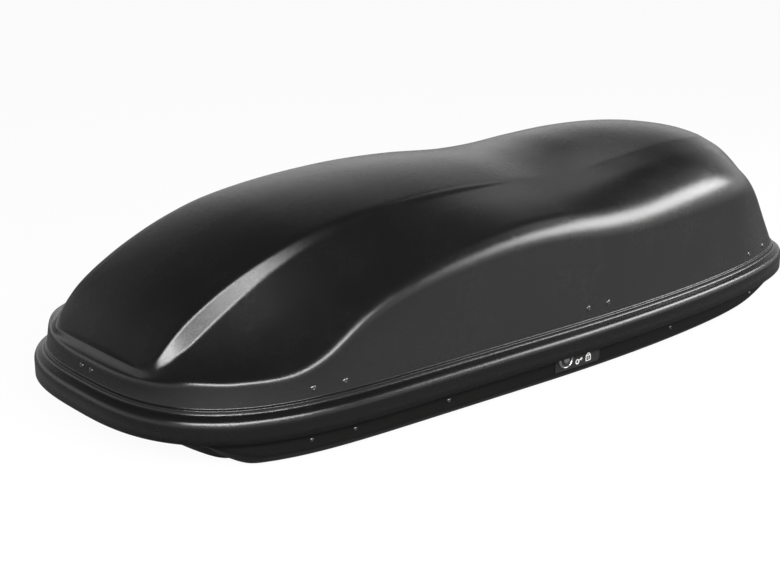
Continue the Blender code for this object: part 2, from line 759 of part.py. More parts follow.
def buildStriker(shop, lidTree, lid, lidAxis, index):
    # A striker on the lid's inner wall, with its pin over the locking bar, and its two rivets
    x = strikerPositions[index]
    spacing = strikerSpacings[index]
    height = skirtBottom + strikerHeights[index]
    name = strikerNames[index] + "_striker"
    span = spacing + 0.020
    frame = wallSeat(lidTree, x, height, span)
    plate = blockMesh(name, (span, strikerPlateHeight, strikerPlateThickness))
    inward = -(seatGap + 0.5 * strikerPlateThickness)
    plateFrame = frame @ Matrix.Translation((0.0, 0.0, inward))
    striker = shop.place(name, plate, plateFrame, "zincSteel", lidAxis)
    pinZ = skirtBottom + strikerPinHeight
    reach = (height - pinZ) / plateFrame.col[1].z + 0.006
    tongue = blockMesh(name, (strikerTongueWidth, reach, 0.98 * strikerPlateThickness))
    tongue = moved(tongue, plateFrame @ Matrix.Translation((0.0, -0.5 * reach, 0.0)))
    combine(striker, shop.cutter(name + "_tongue", tongue), "UNION")
    root = plateFrame @ Vector((0.0, -(height - pinZ) / plateFrame.col[1].z, 0.0))
    inboard = -Vector((frame.col[2].x, frame.col[2].y, 0.0)).normalized()
    plane = clawPlane(index)
    length = (plane + 0.004 - root.y) / inboard.y
    pin = discMesh(name, strikerPinRadius, length, 14)
    pin = moved(pin, frameFrom(root + inboard * 0.5 * length, inboard))
    combine(striker, shop.cutter(name + "_pin", pin), "UNION")
    crossing = root + inboard * ((plane - root.y) / inboard.y)
    seats = []
    for number, shift in ((1, -0.5 * spacing), (2, 0.5 * spacing)):
        seat = outerSeat(lidTree, (x + shift, -0.5 * boxWidth, height), (0.0, 1.0, 0.0), lidRivetHeadRadius)
        seats.append(seat)
        rivetName = strikerNames[index] + "_striker_rivet_" + str(number)
        shop.place(rivetName, rivetMesh(rivetName, lidRivetHeadRadius), seat, "blackRivet", lidAxis)
    rivetHoles(shop, name + "_holes", seats, (striker, lid))
    return crossing


def clawPlane(index):
    # The middle of a claw's thickness, on the inboard face of the bar
    inset = barRearInset if strikerPositions[index] > barJoggleX else barInset
    return lockSidePlane(inset) + 0.5 * barThickness + seatGap + 0.5 * clawThickness


def buildClaw(shop, index, crossing, barAxis):
    # A hook on the bar: its finger slides over the striker's pin as the bar locks
    name = strikerNames[index] + "_claw"
    tip = -strikerPinRadius - clawClearance + 0.004
    post = tip - crankTravel()
    under = strikerPinRadius + runningGap
    foot = skirtBottom - barBottomDrop + 0.002 - crossing.z
    outline = [(post - clawPostWidth, foot), (post, foot), (post, under), (tip, under),
               (tip, under + 0.6 * clawFingerHeight), (tip - 0.003, under + clawFingerHeight),
               (post - clawPostWidth, under + clawFingerHeight)]
    mesh = flatMesh(name, [outline], clawThickness)
    shop.place(name, mesh, alongY(crossing.x, clawPlane(index), crossing.z), "zincSteel", barAxis)


def buildBar(shop, barAxis):
    # The sliding bar: a steel strip on edge with a joggle, and a slotted tab for the crank pin
    front = lockSidePlane(barInset)
    rear = lockSidePlane(barRearInset)
    line = [(barNoseX, front), (barJoggleX, front), (barJoggleEndX, rear), (barTailX, rear)]
    bottom = skirtBottom - barBottomDrop
    mesh = flatMesh("locking_bar", [strip(line, barThickness)], barHeight)
    bar = shop.place("locking_bar", mesh, Matrix.Translation((0.0, 0.0, bottom + 0.5 * barHeight)),
                     "zincSteel", barAxis)
    start = lockX - 0.5 * crankTravel()
    tabBottom = bottom + barHeight - 0.004
    tabTop = skirtBottom + driveTabTop
    tab = blockMesh("drive_tab", (driveTabWidth, 0.98 * barThickness, tabTop - tabBottom))
    tab = moved(tab, Matrix.Translation((start, front, 0.5 * (tabTop + tabBottom))))
    combine(bar, shop.cutter("drive_tab", tab), "UNION")
    centre = skirtBottom - lockDrop
    slotLow = centre + crankRadius * math.cos(0.25 * math.pi)
    slotHigh = centre + crankRadius
    slot = flatMesh("drive_slot", [stadium((0.0, slotLow), (0.0, slotHigh), crankPinRadius + 0.0007)],
                    4.0 * barThickness)
    slot = moved(slot, alongY(start, front, 0.0))
    combine(bar, shop.cutter("drive_slot", slot))


def buildGuide(shop, baseTree, base, index):
    # A guide riveted inside the tray's wall, with a window that the bar slides in
    x, blockShift, shifts = guidePlaces[index]
    name = "bar_guide_" + str(index + 1)
    span = shifts[-1] - shifts[0] + 2.0 * guidePlateMargin
    middle = 0.5 * (guidePlateTop + guidePlateBottom)
    frame = wallSeat(baseTree, x, middle, span)
    plate = blockMesh(name, (span, guidePlateTop - guidePlateBottom, guidePlateThickness))
    plateFrame = frame @ Matrix.Translation((0.0, 0.0, -seatGap - 0.5 * guidePlateThickness))
    guide = shop.place(name, plate, plateFrame, "blackNylon")
    inset = barRearInset if x > barJoggleX else barInset
    barY = lockSidePlane(inset)
    barZ = skirtBottom - barBottomDrop + 0.5 * barHeight
    slope = -plateFrame.col[2].x / plateFrame.col[2].y
    outer = plateFrame.translation.y + blockShift * slope + 0.5 * guideBlockWidth * abs(slope)
    inner = barY + 0.5 * barThickness + runningGap + guideWall
    block = blockMesh(name, (guideBlockWidth, inner - outer, barHeight + 2.0 * (guideWall + runningGap)))
    block = moved(block, Matrix.Translation((x + blockShift, 0.5 * (inner + outer), barZ)))
    combine(guide, shop.cutter(name + "_block", block), "UNION")
    window = blockMesh(name, (4.0 * guideBlockWidth, barThickness + 2.0 * runningGap, barHeight + 2.0 * runningGap))
    window = moved(window, Matrix.Translation((x, barY, barZ)))
    combine(guide, shop.cutter(name + "_window", window))
    seats = []
    for number, shift in enumerate(shifts):
        seat = outerSeat(baseTree, (x + shift, -0.5 * boxWidth, guideRivetHeight), (0.0, 1.0, 0.0),
                         baseRivetHeadRadius)
        seats.append(seat)
        rivetName = name + "_rivet_" + str(number + 1)
        shop.place(rivetName, rivetMesh(rivetName, baseRivetHeadRadius), seat, "blackRivet")
    rivetHoles(shop, name + "_holes", seats, (guide, base))


def ringMesh(name, outer, inner, thickness, sides=24, turn=0.0):
    edge = ringPoints(outer, sides=sides, start=turn, stop=turn + 2.0 * math.pi)
    return flatMesh(name, [edge, ringPoints(inner, sides=24)], thickness)


def buildLock(shop, baseTree, base, coreAxis):
    # The key cylinder in its sleeve, the bezel and plate outside, and the crank behind
    centreZ = skirtBottom - lockDrop
    wall, outward = seatOn(baseTree, (lockX, -boxWidth, centreZ), (0.0, 1.0, 0.0))
    face = wall.y
    plateBack = face - seatGap
    outline = [(lockPlateStart, lockPlateBottom), (lockPlateEnd - 0.006, lockPlateBottom),
               (lockPlateEnd, lockPlateBottom + 0.006), (lockPlateEnd, lockPlateTop), (lockPlateStart, lockPlateTop)]
    outline = [(u, v + lockDrop) for u, v in outline]
    bore = ringPoints(lockSleeveRadius + holeClearance, sides=24)
    plate = flatMesh("lock_plate", [outline, bore], lockPlateThickness)
    shop.place("lock_plate", plate, alongY(lockX, plateBack - 0.5 * lockPlateThickness, centreZ), "blackNylon")
    ringBack = plateBack - lockPlateThickness - seatGap
    profile = [(lockCoreRadius + 0.0006, 0.0), (lockRingRadius, 0.0), (lockRingRadius, 0.4 * lockRingDepth),
               (lockRingRadius - 0.0015, 0.85 * lockRingDepth), (lockRingRadius - 0.0045, lockRingDepth),
               (lockCoreRadius + 0.004, 0.8 * lockRingDepth), (lockCoreRadius + 0.0006, 0.55 * lockRingDepth)]
    ring = turnedMesh("lock_ring", profile + [profile[0]], 32)
    shop.place("lock_ring", ring, alongY(lockX, ringBack, centreZ), "chrome")
    sleeve = ringMesh("lock_sleeve", lockSleeveRadius, lockCoreRadius + pinClearance, lockSleeveLength)
    sleeveFront = ringBack + seatGap
    shop.place("lock_sleeve", sleeve, alongY(lockX, sleeveFront + 0.5 * lockSleeveLength, centreZ), "zincSteel")
    nutFront = face + baseWall + seatGap
    nut = ringMesh("lock_nut", lockNutRadius, lockSleeveRadius + seatGap, lockNutThickness, 6)
    shop.place("lock_nut", nut, alongY(lockX, nutFront + 0.5 * lockNutThickness, centreZ), "zincSteel")
    coreFront = ringBack - lockRingDepth + lockCoreProud
    camBack = lockSidePlane(barInset) - 0.5 * barThickness - camGap
    camFront = camBack - camThickness
    coreLength = camFront - seatGap - coreFront
    core = discMesh("lock_core", lockCoreRadius, coreLength, 24)
    shop.place("lock_core", core, alongY(lockX, coreFront + 0.5 * coreLength, centreZ), "chrome", coreAxis)
    start = (-crankRadius * math.sin(0.25 * math.pi), crankRadius * math.cos(0.25 * math.pi))
    cam = flatMesh("lock_crank", [stadium((0.0, 0.0), start, 0.0055)], camThickness)
    crank = shop.place("lock_crank", cam, alongY(lockX, camBack - 0.5 * camThickness, centreZ), "zincSteel", coreAxis)
    pinLength = camThickness + camGap + barThickness + 0.0015
    pin = discMesh("crank_pin", crankPinRadius, 0.98 * pinLength, 12)
    pin = moved(pin, alongY(lockX + start[0], camFront + 0.51 * pinLength, centreZ + start[1]))
    combine(crank, shop.cutter("crank_pin", pin), "UNION")
    hole = moved(discMesh("lock_hole", lockSleeveRadius + holeClearance, 0.030, 24), alongY(lockX, face, centreZ))
    combine(base, shop.cutter("lock_hole", hole))


def stayPivots():
    # Tray pivot, lid pivot and elbow of a stay: with the lid's hinge they stay a parallelogram
    hinge = hingeAxis()
    foot = Vector((0.0, hinge.y - stayBaseReach, stayBasePivotHeight))
    head = Vector((0.0, 0.0, skirtBottom + stayLidPivotHeight))
    return foot, head, foot + head - hinge


def armMesh(name, start, end, startClearance, endClearance):
    holes = [ringPoints(stayPinRadius + startClearance, start, 14), ringPoints(stayPinRadius + endClearance, end, 14)]
    return flatMesh(name, [stadium(start, end, stayArmRadius)] + holes, stayArmThickness)


def buildStay(shop, baseTree, lidTree, lid, lidAxis, index):
    # A folding stay: foot bracket, two arms, elbow pin and the lid's bracket with its rivets
    name = stayNames[index]
    x = stayPositions[index]
    side = -1.0 if index == 0 else 1.0
    foot, head, elbow = stayPivots()
    lowerX = x + side * (0.5 * stayPlateThickness + seatGap + 0.5 * stayArmThickness)
    upperX = lowerX + side * (stayArmThickness + seatGap)
    earX = upperX + side * (0.5 * stayArmThickness + seatGap + 0.5 * stayPlateThickness)

    floor, upward = seatOn(baseTree, (x - side * 0.5 * stayFootLength, foot.y, 0.3), (0.0, 0.0, -1.0))
    footZ = floor.z + seatGap
    bracketName = name + "_stay_foot"
    half = 0.5 * stayFootWidth
    edge = [(-half, footZ - foot.z), (half, footZ - foot.z)]
    edge += ringPoints(stayEarRadius, (0.0, 0.0), 9, 0.0, math.pi, False)
    upright = flatMesh(bracketName, [edge], stayPlateThickness)
    bracket = shop.place(bracketName, upright, alongX(x, foot.y, foot.z), "zincSteel")
    sole = blockMesh(bracketName, (stayFootLength, stayFootWidth, stayPlateThickness))
    sole = moved(sole, Matrix.Translation((x - side * 0.48 * stayFootLength, foot.y, footZ + 0.5 * stayPlateThickness)))
    combine(bracket, shop.cutter(bracketName + "_sole", sole), "UNION")
    studLength = stayPlateThickness + stayArmThickness + 2.0 * seatGap
    stud = discMesh(bracketName, stayPinRadius, studLength, 14)
    stud = moved(stud, alongX(x + side * (0.5 * studLength - 0.4 * stayPlateThickness), foot.y, foot.z))
    combine(bracket, shop.cutter(bracketName + "_stud", stud), "UNION")

    elbowAxis = shop.axis(name + "_stay_lower_axis", (lowerX, foot.y, foot.z))
    armName = name + "_stay_lower_arm"
    start = (0.0, 0.0)
    reach = (elbow.y - foot.y, elbow.z - foot.z)
    mesh = armMesh(armName, start, reach, pinClearance, pinClearance)
    shop.place(armName, mesh, alongX(lowerX, foot.y, foot.z), "zincSteel", elbowAxis)

    upperAxis = shop.axis(name + "_stay_upper_axis", (upperX, elbow.y, elbow.z), elbowAxis)
    armName = name + "_stay_upper_arm"
    reach = (head.y - elbow.y, head.z - elbow.z)
    mesh = armMesh(armName, start, reach, pinClearance, openPivotClearance)
    shop.place(armName, mesh, alongX(upperX, elbow.y, elbow.z), "zincSteel", upperAxis)

    pinName = name + "_stay_elbow_pin"
    half = stayArmThickness + 1.5 * seatGap
    profile = [(0.0, half + stayHeadThickness), (stayPinHead, half + stayHeadThickness), (stayPinHead, half),
               (stayPinRadius, half), (stayPinRadius, -half), (stayPinHead, -half),
               (stayPinHead, -half - stayHeadThickness), (0.0, -half - stayHeadThickness)]
    pin = turnedMesh(pinName, profile, 14)
    shop.place(pinName, pin, alongX(0.5 * (lowerX + upperX), elbow.y, elbow.z), "zincSteel", elbowAxis)

    bracketName = name + "_stay_lid_bracket"
    seat = endSeat(lidTree, side, head.z, stayBracketHeight)
    plate = blockMesh(bracketName, (stayRivetSpacing + 0.020, stayBracketHeight, stayPlateThickness))
    plateFrame = seat @ Matrix.Translation((0.0, 0.0, -stayBracketGap - 0.5 * stayPlateThickness))
    bracket = shop.place(bracketName, plate, plateFrame, "zincSteel", lidAxis)
    plateX = plateFrame.translation.x
    beam = blockMesh(bracketName, (abs(plateX - earX), 1.9 * stayEarRadius, stayPlateThickness))
    beam = moved(beam, Matrix.Translation((0.5 * (plateX + earX), head.y, head.z)))
    combine(bracket, shop.cutter(bracketName + "_beam", beam), "UNION")
    earEdge = [(-stayEarRadius, -stayEarRadius), (stayEarRadius, -stayEarRadius)]
    earEdge += ringPoints(stayEarRadius, (0.0, 0.0), 9, 0.0, math.pi, False)
    ear = moved(flatMesh(bracketName, [earEdge], stayPlateThickness), alongX(earX, head.y, head.z))
    combine(bracket, shop.cutter(bracketName + "_ear", ear), "UNION")
    stud = discMesh(bracketName, stayPinRadius, studLength, 14)
    stud = moved(stud, alongX(earX - side * (0.5 * studLength - 0.4 * stayPlateThickness), head.y, head.z))
    combine(bracket, shop.cutter(bracketName + "_stud", stud), "UNION")
    seats = []
    for number, across in ((1, -0.5 * stayRivetSpacing), (2, 0.5 * stayRivetSpacing)):
        rivetSeat = outerSeat(lidTree, (side * 0.5 * boxLength, across, head.z), (-side, 0.0, 0.0), lidRivetHeadRadius)
        seats.append(rivetSeat)
        rivetName = name + "_stay_rivet_" + str(number)
        shop.place(rivetName, rivetMesh(rivetName, lidRivetHeadRadius), rivetSeat, "blackRivet", lidAxis)
    rivetHoles(shop, bracketName + "_holes", seats, (bracket, lid))


def buildRails(shop, base):
    # Slots for the roof clamps, cut through the tray's swages and the rails that back them
    slots = []
    for side in (-1.0, 1.0):
        for centre in (-slotOffset, slotOffset):
            half = 0.5 * (slotLength - slotWidth)
            outline = stadium((centre - half, 0.0), (centre + half, 0.0), 0.5 * slotWidth, 6)
            slots.append(moved(flatMesh("slot", [outline], 0.060), Matrix.Translation((0.0, side * swageCentre, 0.0))))
    cutter = shop.cutter("clamp_slots", joinMeshes("clamp_slots", slots))
    combine(base, cutter)
    for side, name in ((-1.0, "right_floor_rail"), (1.0, "left_floor_rail")):
        railZ = swageDepth + baseWall + seatGap + 0.5 * railThickness
        mesh = blockMesh(name, (railLength, railWidth, railThickness))
        rail = shop.place(name, mesh, Matrix.Translation((0.0, side * swageCentre, railZ)), "aluminium")
        combine(rail, cutter)


def buildShells(shop):
    stations = skirtStations()
    lidLines = [lidSection(*station) for station in stations]
    baseLines = [baseSection(*station) for station in stations][::-1]
    lid = shellFrom("lid_shell", lidLines, skirtBottom, lidWall, shop.parts, shop.finishes["blackShell"])
    base = shellFrom("base_shell", baseLines, 0.0, baseWall, shop.parts, shop.finishes["blackShell"])
    return lid, base


def main():
    clearScene()
    shop = Workshop()
    shop.finish("blackShell", (0.012, 0.012, 0.011), 0.42, 0.0)
    shop.finish("blackNylon", (0.015, 0.015, 0.016), 0.55, 0.0)
    shop.finish("blackRivet", (0.02, 0.02, 0.02), 0.35, 0.6)
    shop.finish("zincSteel", (0.55, 0.56, 0.58), 0.38, 1.0)
    shop.finish("aluminium", (0.70, 0.71, 0.72), 0.45, 1.0)
    shop.finish("chrome", (0.78, 0.78, 0.78), 0.18, 1.0)
    lid, base = buildShells(shop)
    lidTree = surfaceOf(lid)
    baseTree = surfaceOf(base)
    lidAxis = shop.axis("lid_axis", hingeAxis())
    shop.attach(lid, lid.matrix_world.copy(), lidAxis)
    for number, x in enumerate(hingePositions):
        buildHinge(shop, number + 1, x, lidAxis)
    barAxis = shop.axis("bar_axis", (lockX, lockSidePlane(barInset), skirtBottom))
    buildBar(shop, barAxis)
    for index in range(len(strikerPositions)):
        crossing = buildStriker(shop, lidTree, lid, lidAxis, index)
        buildClaw(shop, index, crossing, barAxis)
    for index in range(len(guidePlaces)):
        buildGuide(shop, baseTree, base, index)
    coreAxis = shop.axis("lock_axis", (lockX, lockSidePlane(baseInset), skirtBottom - lockDrop))
    buildLock(shop, baseTree, base, coreAxis)
    for index in range(len(stayPositions)):
        buildStay(shop, baseTree, lidTree, lid, lidAxis, index)
    buildRails(shop, base)


main()
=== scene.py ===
import json
import math

import bmesh
import bpy
from mathutils import Matrix, Vector


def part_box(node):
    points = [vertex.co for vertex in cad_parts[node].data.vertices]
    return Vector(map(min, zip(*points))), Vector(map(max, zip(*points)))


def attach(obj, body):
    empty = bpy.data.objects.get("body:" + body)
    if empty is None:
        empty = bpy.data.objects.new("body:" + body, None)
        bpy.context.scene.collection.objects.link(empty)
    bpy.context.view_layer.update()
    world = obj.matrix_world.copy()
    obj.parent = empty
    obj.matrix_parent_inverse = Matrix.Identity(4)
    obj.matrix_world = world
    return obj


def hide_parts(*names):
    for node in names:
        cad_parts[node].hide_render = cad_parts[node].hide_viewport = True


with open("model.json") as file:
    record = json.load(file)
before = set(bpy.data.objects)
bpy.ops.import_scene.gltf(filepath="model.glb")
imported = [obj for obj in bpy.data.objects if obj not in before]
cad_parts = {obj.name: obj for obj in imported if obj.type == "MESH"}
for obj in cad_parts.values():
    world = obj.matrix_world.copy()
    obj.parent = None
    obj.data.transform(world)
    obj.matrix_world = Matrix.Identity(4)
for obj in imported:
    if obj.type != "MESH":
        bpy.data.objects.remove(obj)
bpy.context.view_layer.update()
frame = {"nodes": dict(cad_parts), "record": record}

# Sizes of the box in metres, as in its CAD source where that has them
boxLength = 1.873
boxWidth = 0.780
noseLength = 0.2936 * boxLength
noseFullnessX = 3.6
noseFullnessY = 2.83
tailLength = 0.5307 * boxLength
tailFullnessX = 1.9
tailFullnessY = 4.42
skirtBottom = 0.060
lidWall = 0.004
baseWall = 0.004
ledgeInset = 0.0205
wallInset = 0.0255
creaseHeight = 0.0575
hoodHalfWidth = 0.2372 * boxWidth
hoodNoseX = -0.473 * boxLength
hoodTailX = 0.3684 * boxLength
hoodCornerY = 0.2885 * boxWidth
hoodTaper = 0.9
hoodSharpness = 8
sideFaceRun = 0.014
sideFaceDrop = 0.25
sideFaceRound = 0.35
stepFade = (0.55, 0.95)
crestSpineNose = -0.326 * boxLength
crestSpineTail = 0.326 * boxLength
crestSpineShift = -0.0107 * boxLength
crestSpineShare = 0.70
flangeInset = 0.0075
flangeHeight = 0.0330
flangeEdge = 0.0015
flangeThickness = 0.005
baseInset = 0.0140
wallStep = 0.001
baseFootInset = 0.034
baseBottomInset = 0.056
baseFootRise = 0.4
baseBandRise = 0.25
swageCentre = 0.2974 * boxWidth
swageTopWidth = 0.034
swageSlope = 0.012
swageDepth = 0.014
tubCornerY = 0.3846 * boxWidth
tubNoseX = -0.4474 * boxLength
tubTailX = 0.4271 * boxLength
tubSpineReach = 0.374 * boxLength
tubSpineShare = 0.78
tubSharpness = 24
slotLength = 0.400
slotWidth = 0.010
slotOffset = 0.2136 * boxLength
slotEndSteps = 12
cutterBottom = 0.004
cutterTop = 0.040
lockX = -0.016 * boxLength
lockDrop = 0.006
markLift = 0.00005

# How finely the shells are divided
stationCount = 190
endCrowding = 0.25
abreastMargin = 0.018
spineSteps = (0.12, 0.25, 0.4, 0.55, 0.7, 0.85, 1.0)
weldDistance = 0.000002
mirrorWeld = 0.00002
reachLimit = 0.48


def smoothStep(low, high, value):
    t = min(max((value - low) / (high - low), 0.0), 1.0)
    return t * t * (3.0 - 2.0 * t)


def through(points, x):
    # A smooth curve through a few (share of the length, z) points, level at both ends
    x /= boxLength
    if x <= points[0][0]:
        return points[0][1]
    if x >= points[-1][0]:
        return points[-1][1]
    index = max(i for i in range(len(points) - 1) if points[i][0] <= x)

    def slope(i):
        if i == 0 or i == len(points) - 1:
            return 0.0
        return (points[i + 1][1] - points[i - 1][1]) / (points[i + 1][0] - points[i - 1][0])

    x0, z0 = points[index]
    x1, z1 = points[index + 1]
    span = x1 - x0
    t = (x - x0) / span
    s0 = slope(index) * span
    s1 = slope(index + 1) * span
    return ((2 * t ** 3 - 3 * t ** 2 + 1) * z0 + (t ** 3 - 2 * t ** 2 + t) * s0
            + (-2 * t ** 3 + 3 * t ** 2) * z1 + (t ** 3 - t ** 2) * s1)


# Every profile below gives pairs: the place along the box as a share of its length, then the measure.
# Shoulder and crest are heights above the skirt's lower edge; the nose is lower than in the CAD source
shoulderProfile = ((-0.4965, 0.092), (-0.4645, 0.104), (-0.4271, 0.104), (-0.3684, 0.107), (-0.331, 0.128),
                   (-0.283, 0.178), (-0.2296, 0.215), (-0.1495, 0.246), (-0.0641, 0.264), (0.0107, 0.264),
                   (0.0747, 0.254), (0.1388, 0.249), (0.2242, 0.252), (0.331, 0.25), (0.4058, 0.232),
                   (0.4805, 0.18))
crestProfile = ((-0.4965, 0.092), (-0.4752, 0.107), (-0.4378, 0.176), (-0.4004, 0.222), (-0.3577, 0.261),
                (-0.3203, 0.287), (-0.283, 0.306), (-0.2242, 0.323), (-0.1602, 0.333), (-0.0961, 0.337),
                (-0.0214, 0.333), (0.0534, 0.322), (0.1068, 0.321), (0.1708, 0.328), (0.2403, 0.331),
                (0.3097, 0.322), (0.3737, 0.3), (0.4271, 0.272))
# How far the hood's middle rises over its crest line
crownProfile = ((-0.4805, 0.004), (-0.3737, 0.01), (-0.1068, 0.014), (0.1068, 0.024), (0.267, 0.032),
                (0.4271, 0.034))
# How far the deck's inner edge lies below the hood's crest
stepProfile = ((-0.4752, 0.002), (-0.4512, 0.024), (-0.4271, 0.038), (-0.331, 0.024), (-0.2403, 0.01),
               (-0.0801, 0.005), (0.0801, 0.0))
# How much of its climb the deck has made halfway across
deckBend = ((-0.4538, 0.26), (-0.3203, 0.36), (-0.2136, 0.46), (0.0, 0.6), (0.1602, 0.7))
# How far the roundings of shoulder and crest reach, and how the side wall leans in
shoulderRound = ((-0.4271, 0.01), (-0.2936, 0.016), (-0.1068, 0.03), (0.1602, 0.042))
crestRound = ((-0.4271, 0.008), (-0.1602, 0.012), (0.0534, 0.028), (0.1602, 0.07))
leanProfile = ((-0.4805, 0.15), (0.3203, 0.17), (0.4271, 0.3), (0.4912, 0.42))
# Heights above the tray's lowest floor: the band round it, and the foot of the side wall
bandFloorProfile = ((-0.4805, 0.046), (-0.4592, 0.042), (-0.4431, 0.022), (-0.4218, 0.004), (-0.4058, 0.0),
                    (0.3097, 0.0), (0.3631, 0.012), (0.4164, 0.032), (0.4805, 0.044))
wallFootProfile = ((-0.4805, 0.055), (-0.4538, 0.052), (-0.4271, 0.036), (-0.4004, 0.026), (0.3203, 0.026),
                   (0.4164, 0.046), (0.4805, 0.055))


def finePoints(count=900):
    # Half the skirt outline, nose to tail: two quarter superellipses and the straight between
    noseEnd = -0.5 * boxLength
    tailEnd = 0.5 * boxLength
    points = []
    for i in range(count + 1):
        turn = 0.5 * math.pi * i / count
        points.append(Vector((noseEnd + noseLength * (1.0 - math.cos(turn) ** (2.0 / noseFullnessX)),
                              0.5 * boxWidth * math.sin(turn) ** (2.0 / noseFullnessY))))
    for i in range(count, -1, -1):
        turn = 0.5 * math.pi * i / count
        points.append(Vector((tailEnd - tailLength * (1.0 - math.cos(turn) ** (2.0 / tailFullnessX)),
                              0.5 * boxWidth * math.sin(turn) ** (2.0 / tailFullnessY))))
    return points


def skirtStations():
    # Points and outward normals of half the skirt outline, closer together where it bends
    points = finePoints()
    travelled = [0.0]
    heading = 0.5 * math.pi
    for before, after in zip(points, points[1:]):
        leg = after - before
        newHeading = math.atan2(leg.y, leg.x)
        travelled.append(travelled[-1] + leg.length + endCrowding * abs(heading - newHeading))
        heading = newHeading
    stations = []
    index = 0
    for k in range(stationCount):
        goal = travelled[-1] * k / (stationCount - 1)
        while index < len(points) - 2 and travelled[index + 1] < goal:
            index += 1
        share = (goal - travelled[index]) / (travelled[index + 1] - travelled[index])
        leg = (points[index + 1] - points[index]).normalized()
        normal = Vector((-leg.y, leg.x))
        if k in (0, stationCount - 1):
            normal = Vector((-1.0 if k == 0 else 1.0, 0.0))
        stations.append((points[index].lerp(points[index + 1], min(share, 1.0)), normal))
    return stations


def insideLoop(point, noseX, tailX, halfWidth, corner, sharpness):
    # The point of a smaller loop with square ends that lies abreast of a skirt point
    share = (point.x + 0.5 * boxLength - abreastMargin) / (boxLength - 2.0 * abreastMargin)
    across = point.y / corner
    return Vector((noseX + (tailX - noseX) * min(max(share, 0.0), 1.0),
                   halfWidth * across / (1.0 + across ** sharpness) ** (1.0 / sharpness)))


def hoodPoint(point):
    # The hood's edge: square across the nose, narrowing with the skirt towards the tail
    spot = insideLoop(point, hoodNoseX, hoodTailX, hoodHalfWidth, hoodCornerY, hoodSharpness)
    if point.x > 0.0:
        spot.y = hoodHalfWidth * (2.0 * point.y / boxWidth) ** hoodTaper
    return spot


def rounded(corners, reaches, steps):
    # A section line whose corners are turned by short curves of the given reach
    line = [corners[0]]
    for i in range(1, len(corners) - 1):
        before = corners[i - 1] - corners[i]
        after = corners[i + 1] - corners[i]
        start = corners[i] + before.normalized() * min(reaches[i], reachLimit * before.length)
        end = corners[i] + after.normalized() * min(reaches[i], reachLimit * after.length)
        for step in range(steps[i] + 1):
            t = step / steps[i]
            line.append(start * (1 - t) ** 2 + corners[i] * 2 * t * (1 - t) + end * t ** 2)
    line.append(corners[-1])
    return line


def hoodHeight(x, y):
    return through(crestProfile, x) + through(crownProfile, x) * (1.0 - (y / hoodHalfWidth) ** 2)


# The lid's skirt and lip in section: distance in from the outline, height, reach of the rounding, its steps
lipCorners = ((0.0, 0.0, 0.0, 0), (0.0, 0.033, 0.004, 3), (0.0038, 0.0420, 0.0045, 4),
              (0.0100, 0.0449, 0.002, 2), (0.0184, 0.0469, 0.002, 2), (ledgeInset, 0.0508, 0.0022, 3),
              (ledgeInset + 0.0006, creaseHeight - 0.0015, 0.0012, 2))
creaseRound = 0.0016
deckSteps = [3, 6, 8, 3, 5, 0]


def insetFrom(point, normal, distance, height):
    # A point of a section, moved in from the skirt outline
    return Vector((point.x - normal.x * distance, point.y - normal.y * distance, height))


def lidSection(point, normal):
    # One fine section of the lid, from the lower edge of its skirt up and in to the spine
    corners = [insetFrom(point, normal, distance, height) for distance, height, _, _ in lipCorners]
    shoulderZ = through(shoulderProfile, point.x)
    foot = insetFrom(point, normal, wallInset, creaseHeight)
    lean = through(leanProfile, point.x)
    shoulder = insetFrom(point, normal, wallInset + lean * (shoulderZ - creaseHeight), shoulderZ)
    hood = hoodPoint(point)
    crest = Vector((hood.x, hood.y, hoodHeight(hood.x, hood.y)))
    level = Vector((crest.x - shoulder.x, crest.y - shoulder.y, 0.0))
    sideways = smoothStep(*stepFade, hood.y / hoodHalfWidth)
    step = through(stepProfile, hood.x) * sideways
    run = min(sideFaceRun, 0.3 * level.length)
    kink = crest - level.normalized() * run
    kink.z = crest.z - step - sideFaceDrop * run
    middle = (shoulder + kink) * 0.5
    middle.z = shoulder.z + through(deckBend, hood.x) * (kink.z - shoulder.z)
    reach = 0.5 * (kink - shoulder).length
    spine = Vector((min(max(crestSpineShare * point.x, crestSpineNose), crestSpineTail) + crestSpineShift, 0.0))
    inner = [crest.lerp(Vector((spine.x, spine.y, 0.0)), t) for t in spineSteps]
    for item in inner:
        item.z = hoodHeight(item.x, item.y)
    corners += [foot, shoulder, middle, kink, crest, inner[0]]
    reaches = [corner[2] for corner in lipCorners]
    reaches += [creaseRound, through(shoulderRound, point.x), reach, sideFaceRound * run,
                through(crestRound, hood.x), 0.0]
    steps = [corner[3] for corner in lipCorners] + deckSteps
    return rounded(corners, reaches, steps) + inner[1:]


# The tray's corners from flange to middle: how far each rounding reaches, and its steps
trayRounds = ((0.0, 0), (0.001, 1), (0.001, 1), (0.006, 4), (0.008, 3), (0.008, 2), (0.008, 3), (0.004, 3),
              (0.004, 3), (0.004, 3), (0.004, 3), (0.0, 0))


